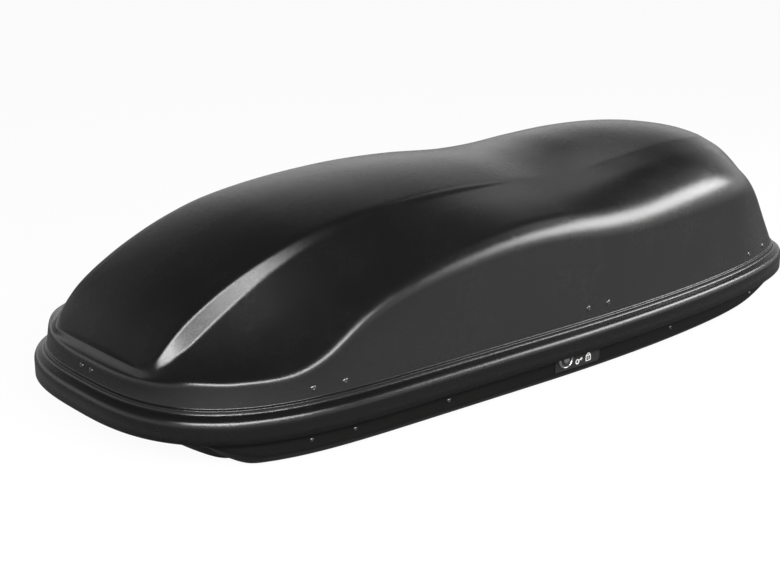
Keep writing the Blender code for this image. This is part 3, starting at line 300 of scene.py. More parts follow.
def baseSection(point, normal):
    # One fine section of the tray, from its flange down and in along the floor to the middle
    low = through(bandFloorProfile, point.x)
    wallFoot = through(wallFootProfile, point.x)
    foot = low + baseFootRise * (wallFoot - low)
    flangeTop = skirtBottom + flangeHeight
    spots = ((flangeInset, flangeTop - flangeEdge), (baseInset, flangeTop),
             (baseInset + wallStep, flangeTop - flangeThickness), (baseInset + wallStep, wallFoot),
             (baseFootInset, foot),
             (0.5 * (baseFootInset + baseBottomInset), low + baseBandRise * (foot - low)),
             (baseBottomInset, low))
    corners = [insetFrom(point, normal, distance, height) for distance, height in spots]
    outerEdge = swageCentre + 0.5 * swageTopWidth + swageSlope
    innerEdge = swageCentre - 0.5 * swageTopWidth - swageSlope
    for across, height in ((outerEdge, None), (outerEdge - swageSlope, swageDepth),
                           (innerEdge + swageSlope, swageDepth), (innerEdge, 0.0)):
        shrink = outerEdge - across
        spot = insideLoop(point, tubNoseX + shrink, tubTailX - shrink, across, tubCornerY, tubSharpness)
        if height is None:
            height = max(min(low, through(bandFloorProfile, spot.x)), 0.0)
        corners.append(Vector((spot.x, spot.y, height)))
    corners.append(Vector((min(max(tubSpineShare * point.x, -tubSpineReach), tubSpineReach), 0.0, 0.0)))
    return rounded(corners, [reach for reach, _ in trayRounds], [steps for _, steps in trayRounds])


def shellMesh(name, sections, lift, wall):
    # A moulded shell: half a loft, mirrored, then thickened inwards
    mesh = bmesh.new()
    grid = [[mesh.verts.new((p.x, max(p.y, 0.0), p.z + lift)) for p in line] for line in sections]
    for i in range(len(grid) - 1):
        for j in range(len(grid[0]) - 1):
            quad = [grid[i][j], grid[i][j + 1], grid[i + 1][j + 1], grid[i + 1][j]]
            corners = []
            for vert in quad:
                if all((vert.co - kept.co).length > 1e-6 for kept in corners):
                    corners.append(vert)
            if len(corners) > 2:
                mesh.faces.new(corners)
    bmesh.ops.remove_doubles(mesh, verts=mesh.verts, dist=weldDistance)
    item = meshObject(name, mesh)
    mirror = item.modifiers.new("bothSides", "MIRROR")
    mirror.use_axis = (False, True, False)
    mirror.use_clip = True
    mirror.merge_threshold = mirrorWeld
    thick = item.modifiers.new("wall", "SOLIDIFY")
    thick.thickness = wall
    thick.offset = -1.0
    thick.use_even_offset = True
    return item


def meshObject(name, mesh):
    data = bpy.data.meshes.new(name)
    mesh.to_mesh(data)
    mesh.free()
    data.shade_smooth()
    item = bpy.data.objects.new(name, data)
    bpy.context.scene.collection.objects.link(item)
    return item


def turned(name, profile, sides=48):
    # A turned solid: (radius, height) points spun about local Z
    mesh = bmesh.new()
    verts = [mesh.verts.new((radius, 0.0, height)) for radius, height in profile]
    edges = [mesh.edges.new(pair) for pair in zip(verts, verts[1:])]
    bmesh.ops.spin(mesh, geom=verts + edges, cent=(0.0, 0.0, 0.0), axis=(0.0, 0.0, 1.0),
                   angle=2.0 * math.pi, steps=sides, use_duplicate=False)
    bmesh.ops.remove_doubles(mesh, verts=mesh.verts, dist=1e-6)
    bmesh.ops.recalc_face_normals(mesh, faces=mesh.faces)
    return meshObject(name, mesh)


def nodeSetup(name):
    material = bpy.data.materials.new(name)
    material.use_nodes = True
    tree = material.node_tree
    return material, tree, tree.nodes["Principled BSDF"]


def link(tree, output, target):
    tree.links.new(output, target)


def newGroup(name, inputs, outputs):
    group = bpy.data.node_groups.new(name, "ShaderNodeTree")
    for label, kind, value in inputs:
        socket = group.interface.new_socket(label, in_out="INPUT", socket_type=kind)
        if value is not None:
            socket.default_value = value
    for label, kind in outputs:
        group.interface.new_socket(label, in_out="OUTPUT", socket_type=kind)
    return group, group.nodes.new("NodeGroupInput"), group.nodes.new("NodeGroupOutput")


def mathNode(tree, operation, first, second=None, clamp=False):
    node = tree.nodes.new("ShaderNodeMath")
    node.operation = operation
    node.use_clamp = clamp
    for index, value in enumerate((first, second)):
        if value is None:
            continue
        if isinstance(value, (int, float)):
            node.inputs[index].default_value = value
        else:
            link(tree, value, node.inputs[index])
    return node.outputs[0]


def mapRange(tree, value, low, high, newLow, newHigh):
    # A smooth ramp from one range of values to another
    node = tree.nodes.new("ShaderNodeMapRange")
    node.interpolation_type = "SMOOTHSTEP"
    link(tree, value, node.inputs["Value"])
    for label, number in (("From Min", low), ("From Max", high), ("To Min", newLow), ("To Max", newHigh)):
        if isinstance(number, (int, float)):
            node.inputs[label].default_value = number
        else:
            link(tree, number, node.inputs[label])
    return node.outputs["Result"]


def noiseTexture(tree, vector, settings):
    # A noise texture with its scale, its detail and, where one is given, its roughness
    node = tree.nodes.new("ShaderNodeTexNoise")
    for label, value in settings.items():
        node.inputs[label].default_value = value
    link(tree, vector, node.inputs["Vector"])
    return node


grainSettings = {"cellRandomness": 0.9, "warp": {"Scale": 160.0, "Detail": 2.0}, "warpReach": 0.0012,
                 "valleyWidth": 0.22, "fine": {"Detail": 3.0, "Roughness": 0.6}, "fineScale": 1.8,
                 "fineHeight": 0.6, "valleyDepth": 0.5}


def makeGrain(settings):
    # Leathery pebble grain: cells of a given size with soft valleys, and its height
    group, start, end = newGroup("pebbleGrain",
                                 [("Cell Size", "NodeSocketFloat", 0.0025), ("Depth", "NodeSocketFloat", 1.0)],
                                 [("Height", "NodeSocketFloat"), ("Valley", "NodeSocketFloat")])
    place = group.nodes.new("ShaderNodeTexCoord")
    scale = mathNode(group, "DIVIDE", 1.0, start.outputs["Cell Size"])
    cells = group.nodes.new("ShaderNodeTexVoronoi")
    cells.feature = "DISTANCE_TO_EDGE"
    cells.inputs["Randomness"].default_value = settings["cellRandomness"]
    warp = noiseTexture(group, place.outputs["Object"], settings["warp"])
    shift = group.nodes.new("ShaderNodeVectorMath")
    shift.operation = "MULTIPLY_ADD"
    link(group, warp.outputs["Color"], shift.inputs[0])
    shift.inputs[1].default_value = (settings["warpReach"],) * 3
    link(group, place.outputs["Object"], shift.inputs[2])
    link(group, shift.outputs[0], cells.inputs["Vector"])
    link(group, scale, cells.inputs["Scale"])
    valley = mapRange(group, cells.outputs["Distance"], 0.0, settings["valleyWidth"], 1.0, 0.0)
    fine = noiseTexture(group, place.outputs["Object"], settings["fine"])
    link(group, mathNode(group, "MULTIPLY", scale, settings["fineScale"]), fine.inputs["Scale"])
    raised = mathNode(group, "MULTIPLY", fine.outputs["Fac"], settings["fineHeight"])
    sunk = mathNode(group, "MULTIPLY", valley, settings["valleyDepth"])
    height = mathNode(group, "SUBTRACT", raised, sunk)
    link(group, mathNode(group, "MULTIPLY", height, start.outputs["Depth"]), end.inputs["Height"])
    link(group, valley, end.inputs["Valley"])
    return group


dustSettings = {"slow": {"Scale": 9.0, "Detail": 6.0, "Roughness": 0.62},
                "speck": {"Scale": 900.0, "Detail": 2.0},
                "facingUp": (0.1, 0.95, 0.25, 1.0), "patches": (0.38, 0.68, 0.0, 1.0),
                "specks": (0.45, 0.75, 0.2, 1.0), "glossSway": 4.0}


def makeDust(settings):
    # Slow uneven handling marks and a little settled dust on what faces up
    group, start, end = newGroup("handlingMarks",
                                 [("Base", "NodeSocketColor", (0.02, 0.02, 0.02, 1.0)),
                                  ("Dust", "NodeSocketColor", (0.12, 0.12, 0.12, 1.0)),
                                  ("Amount", "NodeSocketFloat", 0.1), ("Roughness", "NodeSocketFloat", 0.4),
                                  ("Spread", "NodeSocketFloat", 0.06)],
                                 [("Color", "NodeSocketColor"), ("Roughness", "NodeSocketFloat")])
    place = group.nodes.new("ShaderNodeTexCoord")
    slow = noiseTexture(group, place.outputs["Object"], settings["slow"])
    speck = noiseTexture(group, place.outputs["Object"], settings["speck"])
    facing = group.nodes.new("ShaderNodeNewGeometry")
    split = group.nodes.new("ShaderNodeSeparateXYZ")
    link(group, facing.outputs["Normal"], split.inputs["Vector"])
    up = mapRange(group, split.outputs["Z"], *settings["facingUp"])
    patch = mapRange(group, slow.outputs["Fac"], *settings["patches"])
    spots = mapRange(group, speck.outputs["Fac"], *settings["specks"])
    lying = mathNode(group, "MULTIPLY", up, patch)
    speckled = mathNode(group, "MULTIPLY", spots, start.outputs["Amount"])
    amount = mathNode(group, "MULTIPLY", lying, speckled, True)
    mix = group.nodes.new("ShaderNodeMix")
    mix.data_type = "RGBA"
    link(group, amount, mix.inputs["Factor"])
    link(group, start.outputs["Base"], mix.inputs["A"])
    link(group, start.outputs["Dust"], mix.inputs["B"])
    link(group, mix.outputs["Result"], end.inputs["Color"])
    sway = mathNode(group, "SUBTRACT", slow.outputs["Fac"], 0.5)
    sway = mathNode(group, "MULTIPLY", sway, start.outputs["Spread"])
    rough = mathNode(group, "MULTIPLY", sway, settings["glossSway"])
    rough = mathNode(group, "ADD", start.outputs["Roughness"], rough)
    link(group, rough, end.inputs["Roughness"])
    return group


drawnSettings = {"Scale": 1.0, "Detail": 4.0}


def makeBrushed(settings):
    # Fine lines along one direction, for drawn or brushed metal
    group, start, end = newGroup("drawnLines",
                                 [("Stretch", "NodeSocketVector", (4.0, 600.0, 600.0)),
                                  ("Roughness", "NodeSocketFloat", 0.35), ("Spread", "NodeSocketFloat", 0.15)],
                                 [("Height", "NodeSocketFloat"), ("Roughness", "NodeSocketFloat"),
                                  ("Fac", "NodeSocketFloat")])
    place = group.nodes.new("ShaderNodeTexCoord")
    scaled = group.nodes.new("ShaderNodeVectorMath")
    scaled.operation = "MULTIPLY"
    link(group, place.outputs["Object"], scaled.inputs[0])
    link(group, start.outputs["Stretch"], scaled.inputs[1])
    lines = noiseTexture(group, scaled.outputs[0], settings)
    link(group, lines.outputs["Fac"], end.inputs["Height"])
    link(group, lines.outputs["Fac"], end.inputs["Fac"])
    sway = mathNode(group, "SUBTRACT", lines.outputs["Fac"], 0.5)
    sway = mathNode(group, "MULTIPLY", sway, start.outputs["Spread"])
    link(group, mathNode(group, "ADD", start.outputs["Roughness"], sway), end.inputs["Roughness"])
    return group


def useGroup(tree, group, values):
    node = tree.nodes.new("ShaderNodeGroup")
    node.node_tree = group
    for label, value in values.items():
        node.inputs[label].default_value = value
    return node


def bumpInto(tree, shader, height, strength, distance):
    bump = tree.nodes.new("ShaderNodeBump")
    bump.inputs["Strength"].default_value = strength
    bump.inputs["Distance"].default_value = distance
    link(tree, height, bump.inputs["Height"])
    link(tree, bump.outputs["Normal"], shader.inputs["Normal"])


def plastic(name, settings):
    # Moulded black plastic: grain, uneven gloss and a little dust
    material, tree, shader = nodeSetup(name)
    marks = useGroup(tree, dustGroup, {"Base": settings["colour"], "Dust": settings["dustColour"],
                                       "Amount": settings["dust"], "Roughness": settings["roughness"],
                                       "Spread": settings["spread"]})
    link(tree, marks.outputs["Color"], shader.inputs["Base Color"])
    grain = useGroup(tree, grainGroup, {"Cell Size": settings["grain"], "Depth": 1.0})
    valley = mathNode(tree, "MULTIPLY", grain.outputs["Valley"], settings["valleyRoughness"])
    rough = mathNode(tree, "ADD", marks.outputs["Roughness"], valley, True)
    link(tree, rough, shader.inputs["Roughness"])
    shader.inputs["Specular IOR Level"].default_value = settings["specular"]
    bumpInto(tree, shader, grain.outputs["Height"], settings["bump"], settings["bumpDepth"])
    return material


def metal(name, settings):
    # Plated or drawn metal with fine lines and small stains
    material, tree, shader = nodeSetup(name)
    lines = useGroup(tree, brushedGroup, {"Stretch": settings["stretch"], "Roughness": settings["roughness"],
                                          "Spread": settings["spread"]})
    link(tree, lines.outputs["Roughness"], shader.inputs["Roughness"])
    shader.inputs["Metallic"].default_value = settings["metallic"]
    mix = tree.nodes.new("ShaderNodeMix")
    mix.data_type = "RGBA"
    mix.inputs["A"].default_value = settings["colour"]
    mix.inputs["B"].default_value = settings["darkColour"]
    link(tree, mathNode(tree, "MULTIPLY", lines.outputs["Fac"], settings["darkShare"]), mix.inputs["Factor"])
    link(tree, mix.outputs["Result"], shader.inputs["Base Color"])
    bumpInto(tree, shader, lines.outputs["Height"], settings["bump"], settings["bumpDepth"])
    return material


# Camera: the photograph's view, fitted to the measured outline
cameraSettings = {"target": (-0.1796, 0.0, 0.1362), "azimuth": -39.9146, "elevation": 17.1078,
                  "distance": 3.19, "focal": 1491.1, "imageWidth": 780.0, "sensor": 36.0,
                  "reach": 200.0}


def bearing(azimuth, elevation):
    # The direction of a place seen from the box: degrees round from -Y, and degrees up
    turn = math.radians(azimuth)
    rise = math.radians(elevation)
    return Vector((math.sin(turn) * math.cos(rise), -math.cos(turn) * math.cos(rise), math.sin(rise)))


def makeCamera(settings):
    turn = math.radians(settings["azimuth"])
    back = bearing(settings["azimuth"], settings["elevation"])
    right = Vector((math.cos(turn), math.sin(turn), 0.0))
    data = bpy.data.cameras.new("photoCamera")
    data.sensor_width = settings["sensor"]
    data.lens = settings["focal"] * settings["sensor"] / settings["imageWidth"]
    data.clip_end = settings["reach"]
    camera = bpy.data.objects.new("photoCamera", data)
    matrix = Matrix((right, back.cross(right), back)).transposed().to_4x4()
    matrix.translation = Vector(settings["target"]) + back * settings["distance"]
    camera.matrix_world = matrix
    bpy.context.scene.collection.objects.link(camera)
    bpy.context.scene.camera = camera


print("camera")
makeCamera(cameraSettings)

grainGroup = makeGrain(grainSettings)
dustGroup = makeDust(dustSettings)
brushedGroup = makeBrushed(drawnSettings)

# Lid: near-black ABS with a pebble grain
lidSettings = {"colour": (0.0042, 0.0041, 0.0040, 1.0), "dustColour": (0.03, 0.03, 0.03, 1.0), "dust": 0.08,
               "roughness": 0.22, "spread": 0.02, "grain": 0.0028, "valleyRoughness": 0.05, "specular": 0.56,
               "bump": 0.14, "bumpDepth": 0.0008}
# Tray: the same sheet, a little duller
traySettings = {"colour": (0.0045, 0.0045, 0.0043, 1.0), "dustColour": (0.03, 0.03, 0.03, 1.0), "dust": 0.10,
                "roughness": 0.42, "spread": 0.02, "grain": 0.0028, "valleyRoughness": 0.06, "specular": 0.18,
                "bump": 0.08, "bumpDepth": 0.0006}
# Moulded nylon of the lock plate and the bar guides
nylonSettings = {"colour": (0.010, 0.010, 0.011, 1.0), "dustColour": (0.06, 0.06, 0.06, 1.0), "dust": 0.1,
                 "roughness": 0.5, "spread": 0.02, "grain": 0.0008, "valleyRoughness": 0.1, "specular": 0.4,
                 "bump": 0.3, "bumpDepth": 0.0002}
# Black rivets, a little glossier
rivetSettings = {"colour": (0.010, 0.010, 0.010, 1.0), "dustColour": (0.08, 0.08, 0.08, 1.0), "dust": 0.2,
                 "roughness": 0.13, "spread": 0.02, "grain": 0.0006, "valleyRoughness": 0.04, "specular": 1.0,
                 "bump": 0.08, "bumpDepth": 0.0001}
# Zinc-plated steel of bars, claws, stays, hinges and lock works
steelSettings = {"colour": (0.60, 0.61, 0.63, 1.0), "darkColour": (0.42, 0.43, 0.44, 1.0), "metallic": 1.0,
                 "stretch": (30.0, 500.0, 500.0), "roughness": 0.34, "spread": 0.25, "bump": 0.12,
                 "bumpDepth": 0.0002, "darkShare": 0.6}
# Drawn aluminium of the floor rails
railSettings = {"colour": (0.74, 0.75, 0.76, 1.0), "darkColour": (0.62, 0.63, 0.64, 1.0), "metallic": 1.0,
                "stretch": (3.0, 900.0, 900.0), "roughness": 0.38, "spread": 0.2, "bump": 0.10,
                "bumpDepth": 0.0002, "darkShare": 0.6}
# Bright plating of the lock
chromeSettings = {"colour": (0.78, 0.78, 0.78, 1.0), "darkColour": (0.66, 0.66, 0.67, 1.0), "metallic": 1.0,
                  "stretch": (120.0, 120.0, 120.0), "roughness": 0.20, "spread": 0.12, "bump": 0.03,
                  "bumpDepth": 0.0002, "darkShare": 0.6}

lidPlastic = plastic("lidPlastic", lidSettings)
trayPlastic = plastic("trayPlastic", traySettings)
blackNylon = plastic("blackNylon", nylonSettings)
rivetBlack = plastic("rivetBlack", rivetSettings)
zincSteel = metal("zincSteel", steelSettings)
railMetal = metal("railMetal", railSettings)
brightMetal = metal("brightMetal", chromeSettings)


def dress(item, material, body, slotName, *nodes):
    item.data.materials.clear()
    item.data.materials.append(material)
    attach(item, body)
    if nodes:
        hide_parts(*nodes)
    return item


print("shells")
stations = skirtStations()
lid = shellMesh("lid", [lidSection(*station) for station in stations], skirtBottom, lidWall)
dress(lid, lidPlastic, "lid", "black_shell", "lid_shell")
tray = shellMesh("tray", [baseSection(*station) for station in stations][::-1], 0.0, baseWall)
dress(tray, trayPlastic, "base", "black_shell", "base_shell")


def cutSlots(target):
    # The clamp slots through the tray's raised swages
    mesh = bmesh.new()
    for side in (-1.0, 1.0):
        for centre in (-slotOffset, slotOffset):
            half = 0.5 * (slotLength - slotWidth)
            ring = []
            for end in (1.0, -1.0):
                for k in range(slotEndSteps + 1):
                    turn = math.pi * (0.5 - k / slotEndSteps) + (0.0 if end > 0 else math.pi)
                    ring.append((centre + end * half + 0.5 * slotWidth * math.cos(turn),
                                 side * swageCentre + 0.5 * slotWidth * math.sin(turn)))
            low = [mesh.verts.new((x, y, cutterBottom)) for x, y in ring]
            high = [mesh.verts.new((x, y, cutterTop)) for x, y in ring]
            mesh.faces.new(low)
            mesh.faces.new(high[::-1])
            for k in range(len(ring)):
                n = (k + 1) % len(ring)
                mesh.faces.new((low[k], high[k], high[n], low[n]))
    bmesh.ops.recalc_face_normals(mesh, faces=mesh.faces)
    cutter = meshObject("slotCutter", mesh)
    change = target.modifiers.new("slots", "BOOLEAN")
    change.object = cutter
    change.operation = "DIFFERENCE"
    change.solver = "EXACT"
    graph = bpy.context.evaluated_depsgraph_get()
    made = bpy.data.meshes.new_from_object(target.evaluated_get(graph))
    target.modifiers.clear()
    target.data = made
    bpy.data.objects.remove(cutter, do_unlink=True)


cutSlots(tray)


def rivetFrame(node):
    # Where a CAD rivet's head sits and which way it points, read from its flat underside
    data = frame["nodes"][node].data
    areas = {}
    for face in data.polygons:
        key = tuple(round(value, 2) for value in face.normal)
        total, normal, middle = areas.get(key, (0.0, Vector(), Vector()))
        areas[key] = (total + face.area, normal + face.normal * face.area, middle + face.center * face.area)
    total, normal, middle = max(areas.values(), key=lambda item: item[0])
    outward = -normal.normalized()
    spots = [vert.co for vert in data.vertices]
    centre = sum(spots, Vector()) / len(spots)
    top = max(spot.dot(outward) for spot in spots)
    across = Vector((0.0, 0.0, 1.0)).cross(outward).normalized()
    matrix = Matrix((across, outward.cross(across), outward)).transposed().to_4x4()
    matrix.translation = centre + outward * (top - centre.dot(outward))
    radius = max((spot - centre - outward * (spot - centre).dot(outward)).length for spot in spots)
    return matrix, radius


rivetShape = {"dome": 0.0028, "domeStart": 0.45, "domeSteps": 8, "dimple": 0.0007, "dimpleRadius": 0.32,
              "rim": 0.0004, "shankRadius": 0.4, "shank": 0.008, "sides": 32}


def makeRivet(node, body, settings):
    # A domed rivet with the small pit that its drawn mandrel leaves
    matrix, radius = rivetFrame(node)
    dome = settings["dome"]
    pit = settings["dimpleRadius"] * radius
    profile = [(0.0, -settings["dimple"] - 0.0002), (0.7 * pit, -settings["dimple"]), (pit, -0.0001)]
    for k in range(settings["domeSteps"] + 1):
        turn = settings["domeStart"] + (0.5 * math.pi - settings["domeStart"]) * k / settings["domeSteps"]
        profile.append((radius * math.sin(turn), -dome * (1.0 - math.cos(turn))))
    profile += [(radius, -dome - settings["rim"]), (0.55 * radius, -dome - settings["rim"]),
                (settings["shankRadius"] * radius, -dome - settings["shank"])]
    item = turned(node + "_fine", profile, settings["sides"])
    item.data.transform(matrix)
    return dress(item, rivetBlack, body, "black_rivet", node)


print("rivets")
bodyOf = {node: body for body, nodes in frame["record"]["behaviour"]["bodies"].items() for node in nodes}
for node in sorted(frame["nodes"]):
    if "_rivet" in node:
        makeRivet(node, bodyOf[node], rivetShape)

print("hardware")
finishes = {"zinc_steel": zincSteel, "aluminium": railMetal, "chrome": brightMetal, "black_nylon": blackNylon}
slotOf = {entry["node"]: entry["material_slot"] for entry in frame["record"]["subparts"]}
edgeSettings = {"width": 0.0003, "segments": 2}
for node, item in frame["nodes"].items():
    if slotOf.get(node) in finishes and not item.hide_render:
        item.data.materials.clear()
        item.data.materials.append(finishes[slotOf[node]])
        bevel = item.modifiers.new("edges", "BEVEL")
        bevel.width = edgeSettings["width"]
        bevel.segments = edgeSettings["segments"]
        bevel.limit_method = "ANGLE"
        bevel.harden_normals = False

# Lock: bright bezel, a dished black face round the cylinder, and the plate's marks
lockSettings = {"ringRadius": 0.020, "ringWidth": 0.0046, "ringDepth": 0.005, "seat": 0.0003, "sides": 72,
                "coreRadius": 0.0080, "coreGap": 0.0006}


def alongLock(z, depth=0.0):
    # Local X along the box, local Y up, local Z outwards on the lock's side
    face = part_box("lock_plate")[0].y - depth
    matrix = Matrix(((1.0, 0.0, 0.0), (0.0, 0.0, -1.0), (0.0, 1.0, 0.0))).to_4x4()
    matrix.translation = Vector((lockX, face, z))
    return matrix


def makeLock(settings):
    # A bright ring round a dished black face, which the cylinder stands in
    centre = skirtBottom - lockDrop
    radius = settings["ringRadius"]
    depth = settings["ringDepth"]
    inner = radius - settings["ringWidth"]
    seat = settings["seat"]
    bore = settings["coreRadius"] + settings["coreGap"]
    profile = [(inner, seat), (radius - 0.0002, seat), (radius, 0.0009), (radius - 0.0002, 0.4 * depth),
               (radius - 0.0010, 0.75 * depth), (radius - 0.0020, 0.95 * depth),
               (0.5 * (radius + inner), depth), (inner + 0.0010, 0.95 * depth),
               (inner + 0.0003, 0.8 * depth), (inner, 0.5 * depth), (inner, seat)]
    ring = turned("lock_bezel", profile, settings["sides"])
    ring.data.transform(alongLock(centre))
    dress(ring, brightMetal, "base", "chrome", "lock_ring")
    profile = [(bore, seat), (inner, seat), (inner, 0.4 * depth), (inner - 0.0010, 0.3 * depth),
               (bore + 0.0016, 0.24 * depth), (bore + 0.0004, 0.4 * depth), (bore, 0.4 * depth), (bore, seat)]
    face = turned("lock_dish", profile, settings["sides"])
    face.data.transform(alongLock(centre))
    face.data.materials.append(blackNylon)
    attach(face, "base")


print("lock")
makeLock(lockSettings)

# The plate's marks: sizes of the strokes, and the places of key and padlock from the lock's middle
markSettings = {"colour": (0.72, 0.72, 0.70, 1.0), "wornColour": (0.45, 0.45, 0.44, 1.0), "depth": 0.0003,
                "stroke": 0.0016, "bow": (0.036, -0.014), "bowRadius": 0.0052, "padlock": (0.068, -0.012),
                "shackleRadius": 0.0050, "shackleRise": 0.006, "wear": {"Scale": 700.0},
                "worn": (0.5, 0.75, 0.0, 1.0), "roughness": 0.5}

markMaterial, markTree, markShader = nodeSetup("plateMarks")
markPlace = markTree.nodes.new("ShaderNodeTexCoord")
markNoise = noiseTexture(markTree, markPlace.outputs["Generated"], markSettings["wear"])
markMix = markTree.nodes.new("ShaderNodeMix")
markMix.data_type = "RGBA"
markMix.inputs["A"].default_value = markSettings["colour"]
markMix.inputs["B"].default_value = markSettings["wornColour"]
markWear = mapRange(markTree, markNoise.outputs["Fac"], *markSettings["worn"])
link(markTree, markWear, markMix.inputs["Factor"])
link(markTree, markMix.outputs["Result"], markShader.inputs["Base Color"])
markShader.inputs["Roughness"].default_value = markSettings["roughness"]


def ringStrip(mesh, outer, inner, thickness, close):
    # A flat raised band between two outlines of equal length
    rows = []
    for z in (0.0, thickness):
        rows.append([mesh.verts.new((x, y, z)) for x, y in outer])
        rows.append([mesh.verts.new((x, y, z)) for x, y in inner])
    count = len(outer)
    for k in range(count if close else count - 1):
        n = (k + 1) % count
        mesh.faces.new((rows[2][k], rows[2][n], rows[3][n], rows[3][k]))
        mesh.faces.new((rows[0][k], rows[0][n], rows[2][n], rows[2][k]))
        mesh.faces.new((rows[1][k], rows[3][k], rows[3][n], rows[1][n]))
    if not close:
        for k in (0, count - 1):
            mesh.faces.new((rows[0][k], rows[2][k], rows[3][k], rows[1][k]))


def stroke(mesh, origin, start, end, width, thickness):
    # A straight stroke between two places that are given from an origin
    start = Vector((origin[0] + start[0], origin[1] + start[1]))
    end = Vector((origin[0] + end[0], origin[1] + end[1]))
    along = (end - start).normalized()
    side = Vector((-along.y, along.x)) * 0.5 * width
    outer = [tuple(start + side), tuple(end + side)]
    inner = [tuple(start - side), tuple(end - side)]
    ringStrip(mesh, outer, inner, thickness, False)


def arc(centre, radius, first, last, count=20):
    # Points along an arc between two bearings in degrees
    turns = [math.radians(first + (last - first) * k / count) for k in range(count + 1)]
    return [(centre[0] + radius * math.cos(turn), centre[1] + radius * math.sin(turn)) for turn in turns]


def plateMarks(settings):
    # A key and a padlock, the plain marks by which such a lock shows which way it turns
    mesh = bmesh.new()
    depth = settings["depth"]
    width = settings["stroke"]
    bow = settings["bow"]
    radius = settings["bowRadius"]
    ringStrip(mesh, arc(bow, radius, 0, 360, 28)[:-1], arc(bow, radius - width, 0, 360, 28)[:-1], depth, True)
    for start, end in (((0.0048, 0.0020), (0.0135, 0.0065)), ((0.0095, 0.0045), (0.0112, 0.0010)),
                       ((0.0125, 0.0060), (0.0142, 0.0028))):
        stroke(mesh, bow, start, end, width, depth)
    padlock = settings["padlock"]
    top = (padlock[0], padlock[1] + settings["shackleRise"])
    radius = settings["shackleRadius"]
    ringStrip(mesh, arc(top, radius, 0, 180), arc(top, radius - width, 0, 180), depth, False)
    for start, end in (((-0.0072, 0.0052), (0.0072, 0.0052)), ((-0.0072, -0.0058), (0.0072, -0.0058)),
                       ((-0.0064, -0.0058), (-0.0064, 0.0052)), ((0.0064, -0.0058), (0.0064, 0.0052)),
                       ((0.0, -0.0030), (0.0, 0.0022))):
        stroke(mesh, padlock, start, end, width, depth)
    bmesh.ops.recalc_face_normals(mesh, faces=mesh.faces)
    item = meshObject("lock_plate_marks", mesh)
    for face in item.data.polygons:
        face.use_smooth = False
    item.data.transform(alongLock(skirtBottom - lockDrop, markLift))
    item.data.materials.append(markMaterial)
    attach(item, "base")


plateMarks(markSettings)

print("floor and lights")
# The pale floor: what the camera sees glows, and what surfaces mirror of it is dimmer
floorSettings = {"colour": (0.90, 0.90, 0.90, 1.0), "roughness": 0.9, "specular": 0.1, "glow": 0.95,
                 "mirrored": 0.19, "halfWidth": 60.0, "drop": 0.001}


def makeFloor(settings):
    mesh = bmesh.new()
    bmesh.ops.create_grid(mesh, x_segments=1, y_segments=1, size=settings["halfWidth"])
    item = meshObject("floor", mesh)
    item.location.z = -settings["drop"]
    material, tree, shader = nodeSetup("paleFloor")
    shader.inputs["Base Color"].default_value = settings["colour"]
    shader.inputs["Roughness"].default_value = settings["roughness"]
    shader.inputs["Specular IOR Level"].default_value = settings["specular"]
    path = tree.nodes.new("ShaderNodeLightPath")
    direct = mathNode(tree, "MAXIMUM", path.outputs["Is Camera Ray"], path.outputs["Is Transmission Ray"])
    seen = mathNode(tree, "MULTIPLY", settings["glow"], direct)
    dimmed = mathNode(tree, "MULTIPLY", path.outputs["Is Glossy Ray"], 1.0 - settings["mirrored"])
    strength = mathNode(tree, "SUBTRACT", 1.0, dimmed)
    glow = tree.nodes.new("ShaderNodeEmission")
    glow.inputs["Color"].default_value = (1.0, 1.0, 1.0, 1.0)
    link(tree, strength, glow.inputs["Strength"])
    mix = tree.nodes.new("ShaderNodeMixShader")
    link(tree, mathNode(tree, "MAXIMUM", seen, path.outputs["Is Glossy Ray"]), mix.inputs[0])
    link(tree, shader.outputs[0], mix.inputs[1])
    link(tree, glow.outputs[0], mix.inputs[2])
    facing = tree.nodes.new("ShaderNodeNewGeometry")
    clear = tree.nodes.new("ShaderNodeBsdfTransparent")
    under = tree.nodes.new("ShaderNodeMixShader")
    link(tree, facing.outputs["Backfacing"], under.inputs[0])
    link(tree, mix.outputs[0], under.inputs[1])
    link(tree, clear.outputs[0], under.inputs[2])
    link(tree, under.outputs[0], tree.nodes["Material Output"].inputs["Surface"])
    item.data.materials.append(material)


# Backdrop: ambient light, what the ceiling mirrors, and how high the mirrored light fades out
worldSettings = {"light": 0.20, "ceiling": 0.05, "rise": 0.57}


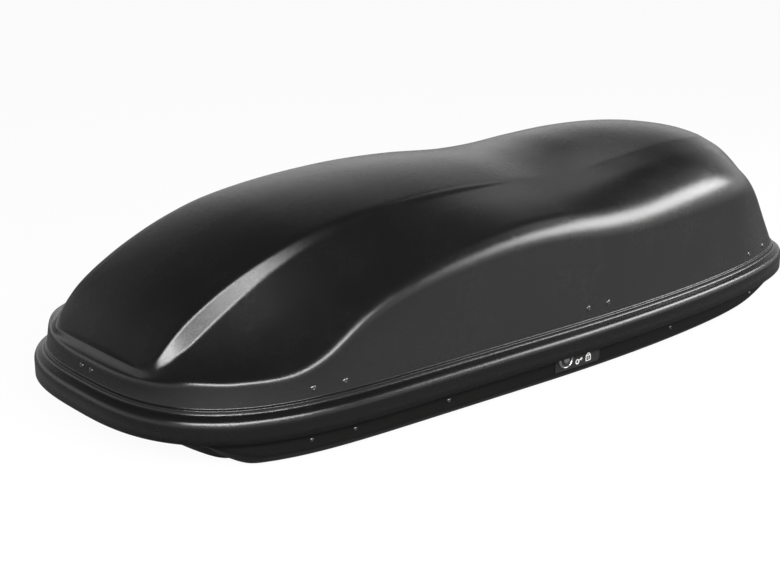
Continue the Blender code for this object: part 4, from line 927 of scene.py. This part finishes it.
def makeWorld(settings):
    # Pale backdrop up to the horizon; what the surfaces mirror darkens towards the ceiling
    world = bpy.data.worlds.new("studio")
    bpy.context.scene.world = world
    world.use_nodes = True
    tree = world.node_tree
    back = tree.nodes["Background"]
    back.inputs["Color"].default_value = (1.0, 1.0, 1.0, 1.0)
    path = tree.nodes.new("ShaderNodeLightPath")
    place = tree.nodes.new("ShaderNodeTexCoord")
    split = tree.nodes.new("ShaderNodeSeparateXYZ")
    link(tree, place.outputs["Generated"], split.inputs["Vector"])
    mirrored = mapRange(tree, split.outputs["Z"], 0.0, settings["rise"], 1.0, settings["ceiling"])
    seen = mathNode(tree, "MAXIMUM", path.outputs["Is Camera Ray"], path.outputs["Is Transmission Ray"])
    glossy = mathNode(tree, "MULTIPLY", path.outputs["Is Glossy Ray"], mirrored)
    direct = mathNode(tree, "MAXIMUM", seen, path.outputs["Is Glossy Ray"])
    rest = mathNode(tree, "MULTIPLY", mathNode(tree, "SUBTRACT", 1.0, direct), settings["light"])
    strength = mathNode(tree, "ADD", mathNode(tree, "MAXIMUM", seen, glossy), rest)
    link(tree, strength, back.inputs["Strength"])


# Strip softboxes: azimuth and elevation in degrees as seen from their target, then width, height and power
lampTarget = Vector((-0.1, 0.0, 0.2))
lampDistance = 3.0
lamps = {"front": (-52.0, 25.0, 1.9, 0.66, 82.0), "side": (-14.0, 30.0, 1.9, 0.66, 71.0),
         "rear": (59.0, 21.5, 2.2, 0.85, 66.0), "high": (68.0, 41.0, 0.9, 0.7, 2.6),
         "back": (114.0, 42.0, 0.9, 0.9, 2.2)}


def makeLamp(name, azimuth, elevation, width, height, power):
    place = lampTarget + lampDistance * bearing(azimuth, elevation)
    data = bpy.data.lights.new(name, "AREA")
    data.shape = "RECTANGLE"
    data.size = width
    data.size_y = height
    data.energy = power
    lamp = bpy.data.objects.new(name, data)
    lamp.location = place
    lamp.rotation_euler = (lampTarget - place).to_track_quat("-Z", "Y").to_euler()
    lamp.visible_camera = False
    bpy.context.scene.collection.objects.link(lamp)


makeFloor(floorSettings)
makeWorld(worldSettings)
for name, values in lamps.items():
    makeLamp(name, *values)

bpy.context.scene.view_settings.view_transform = "Standard"
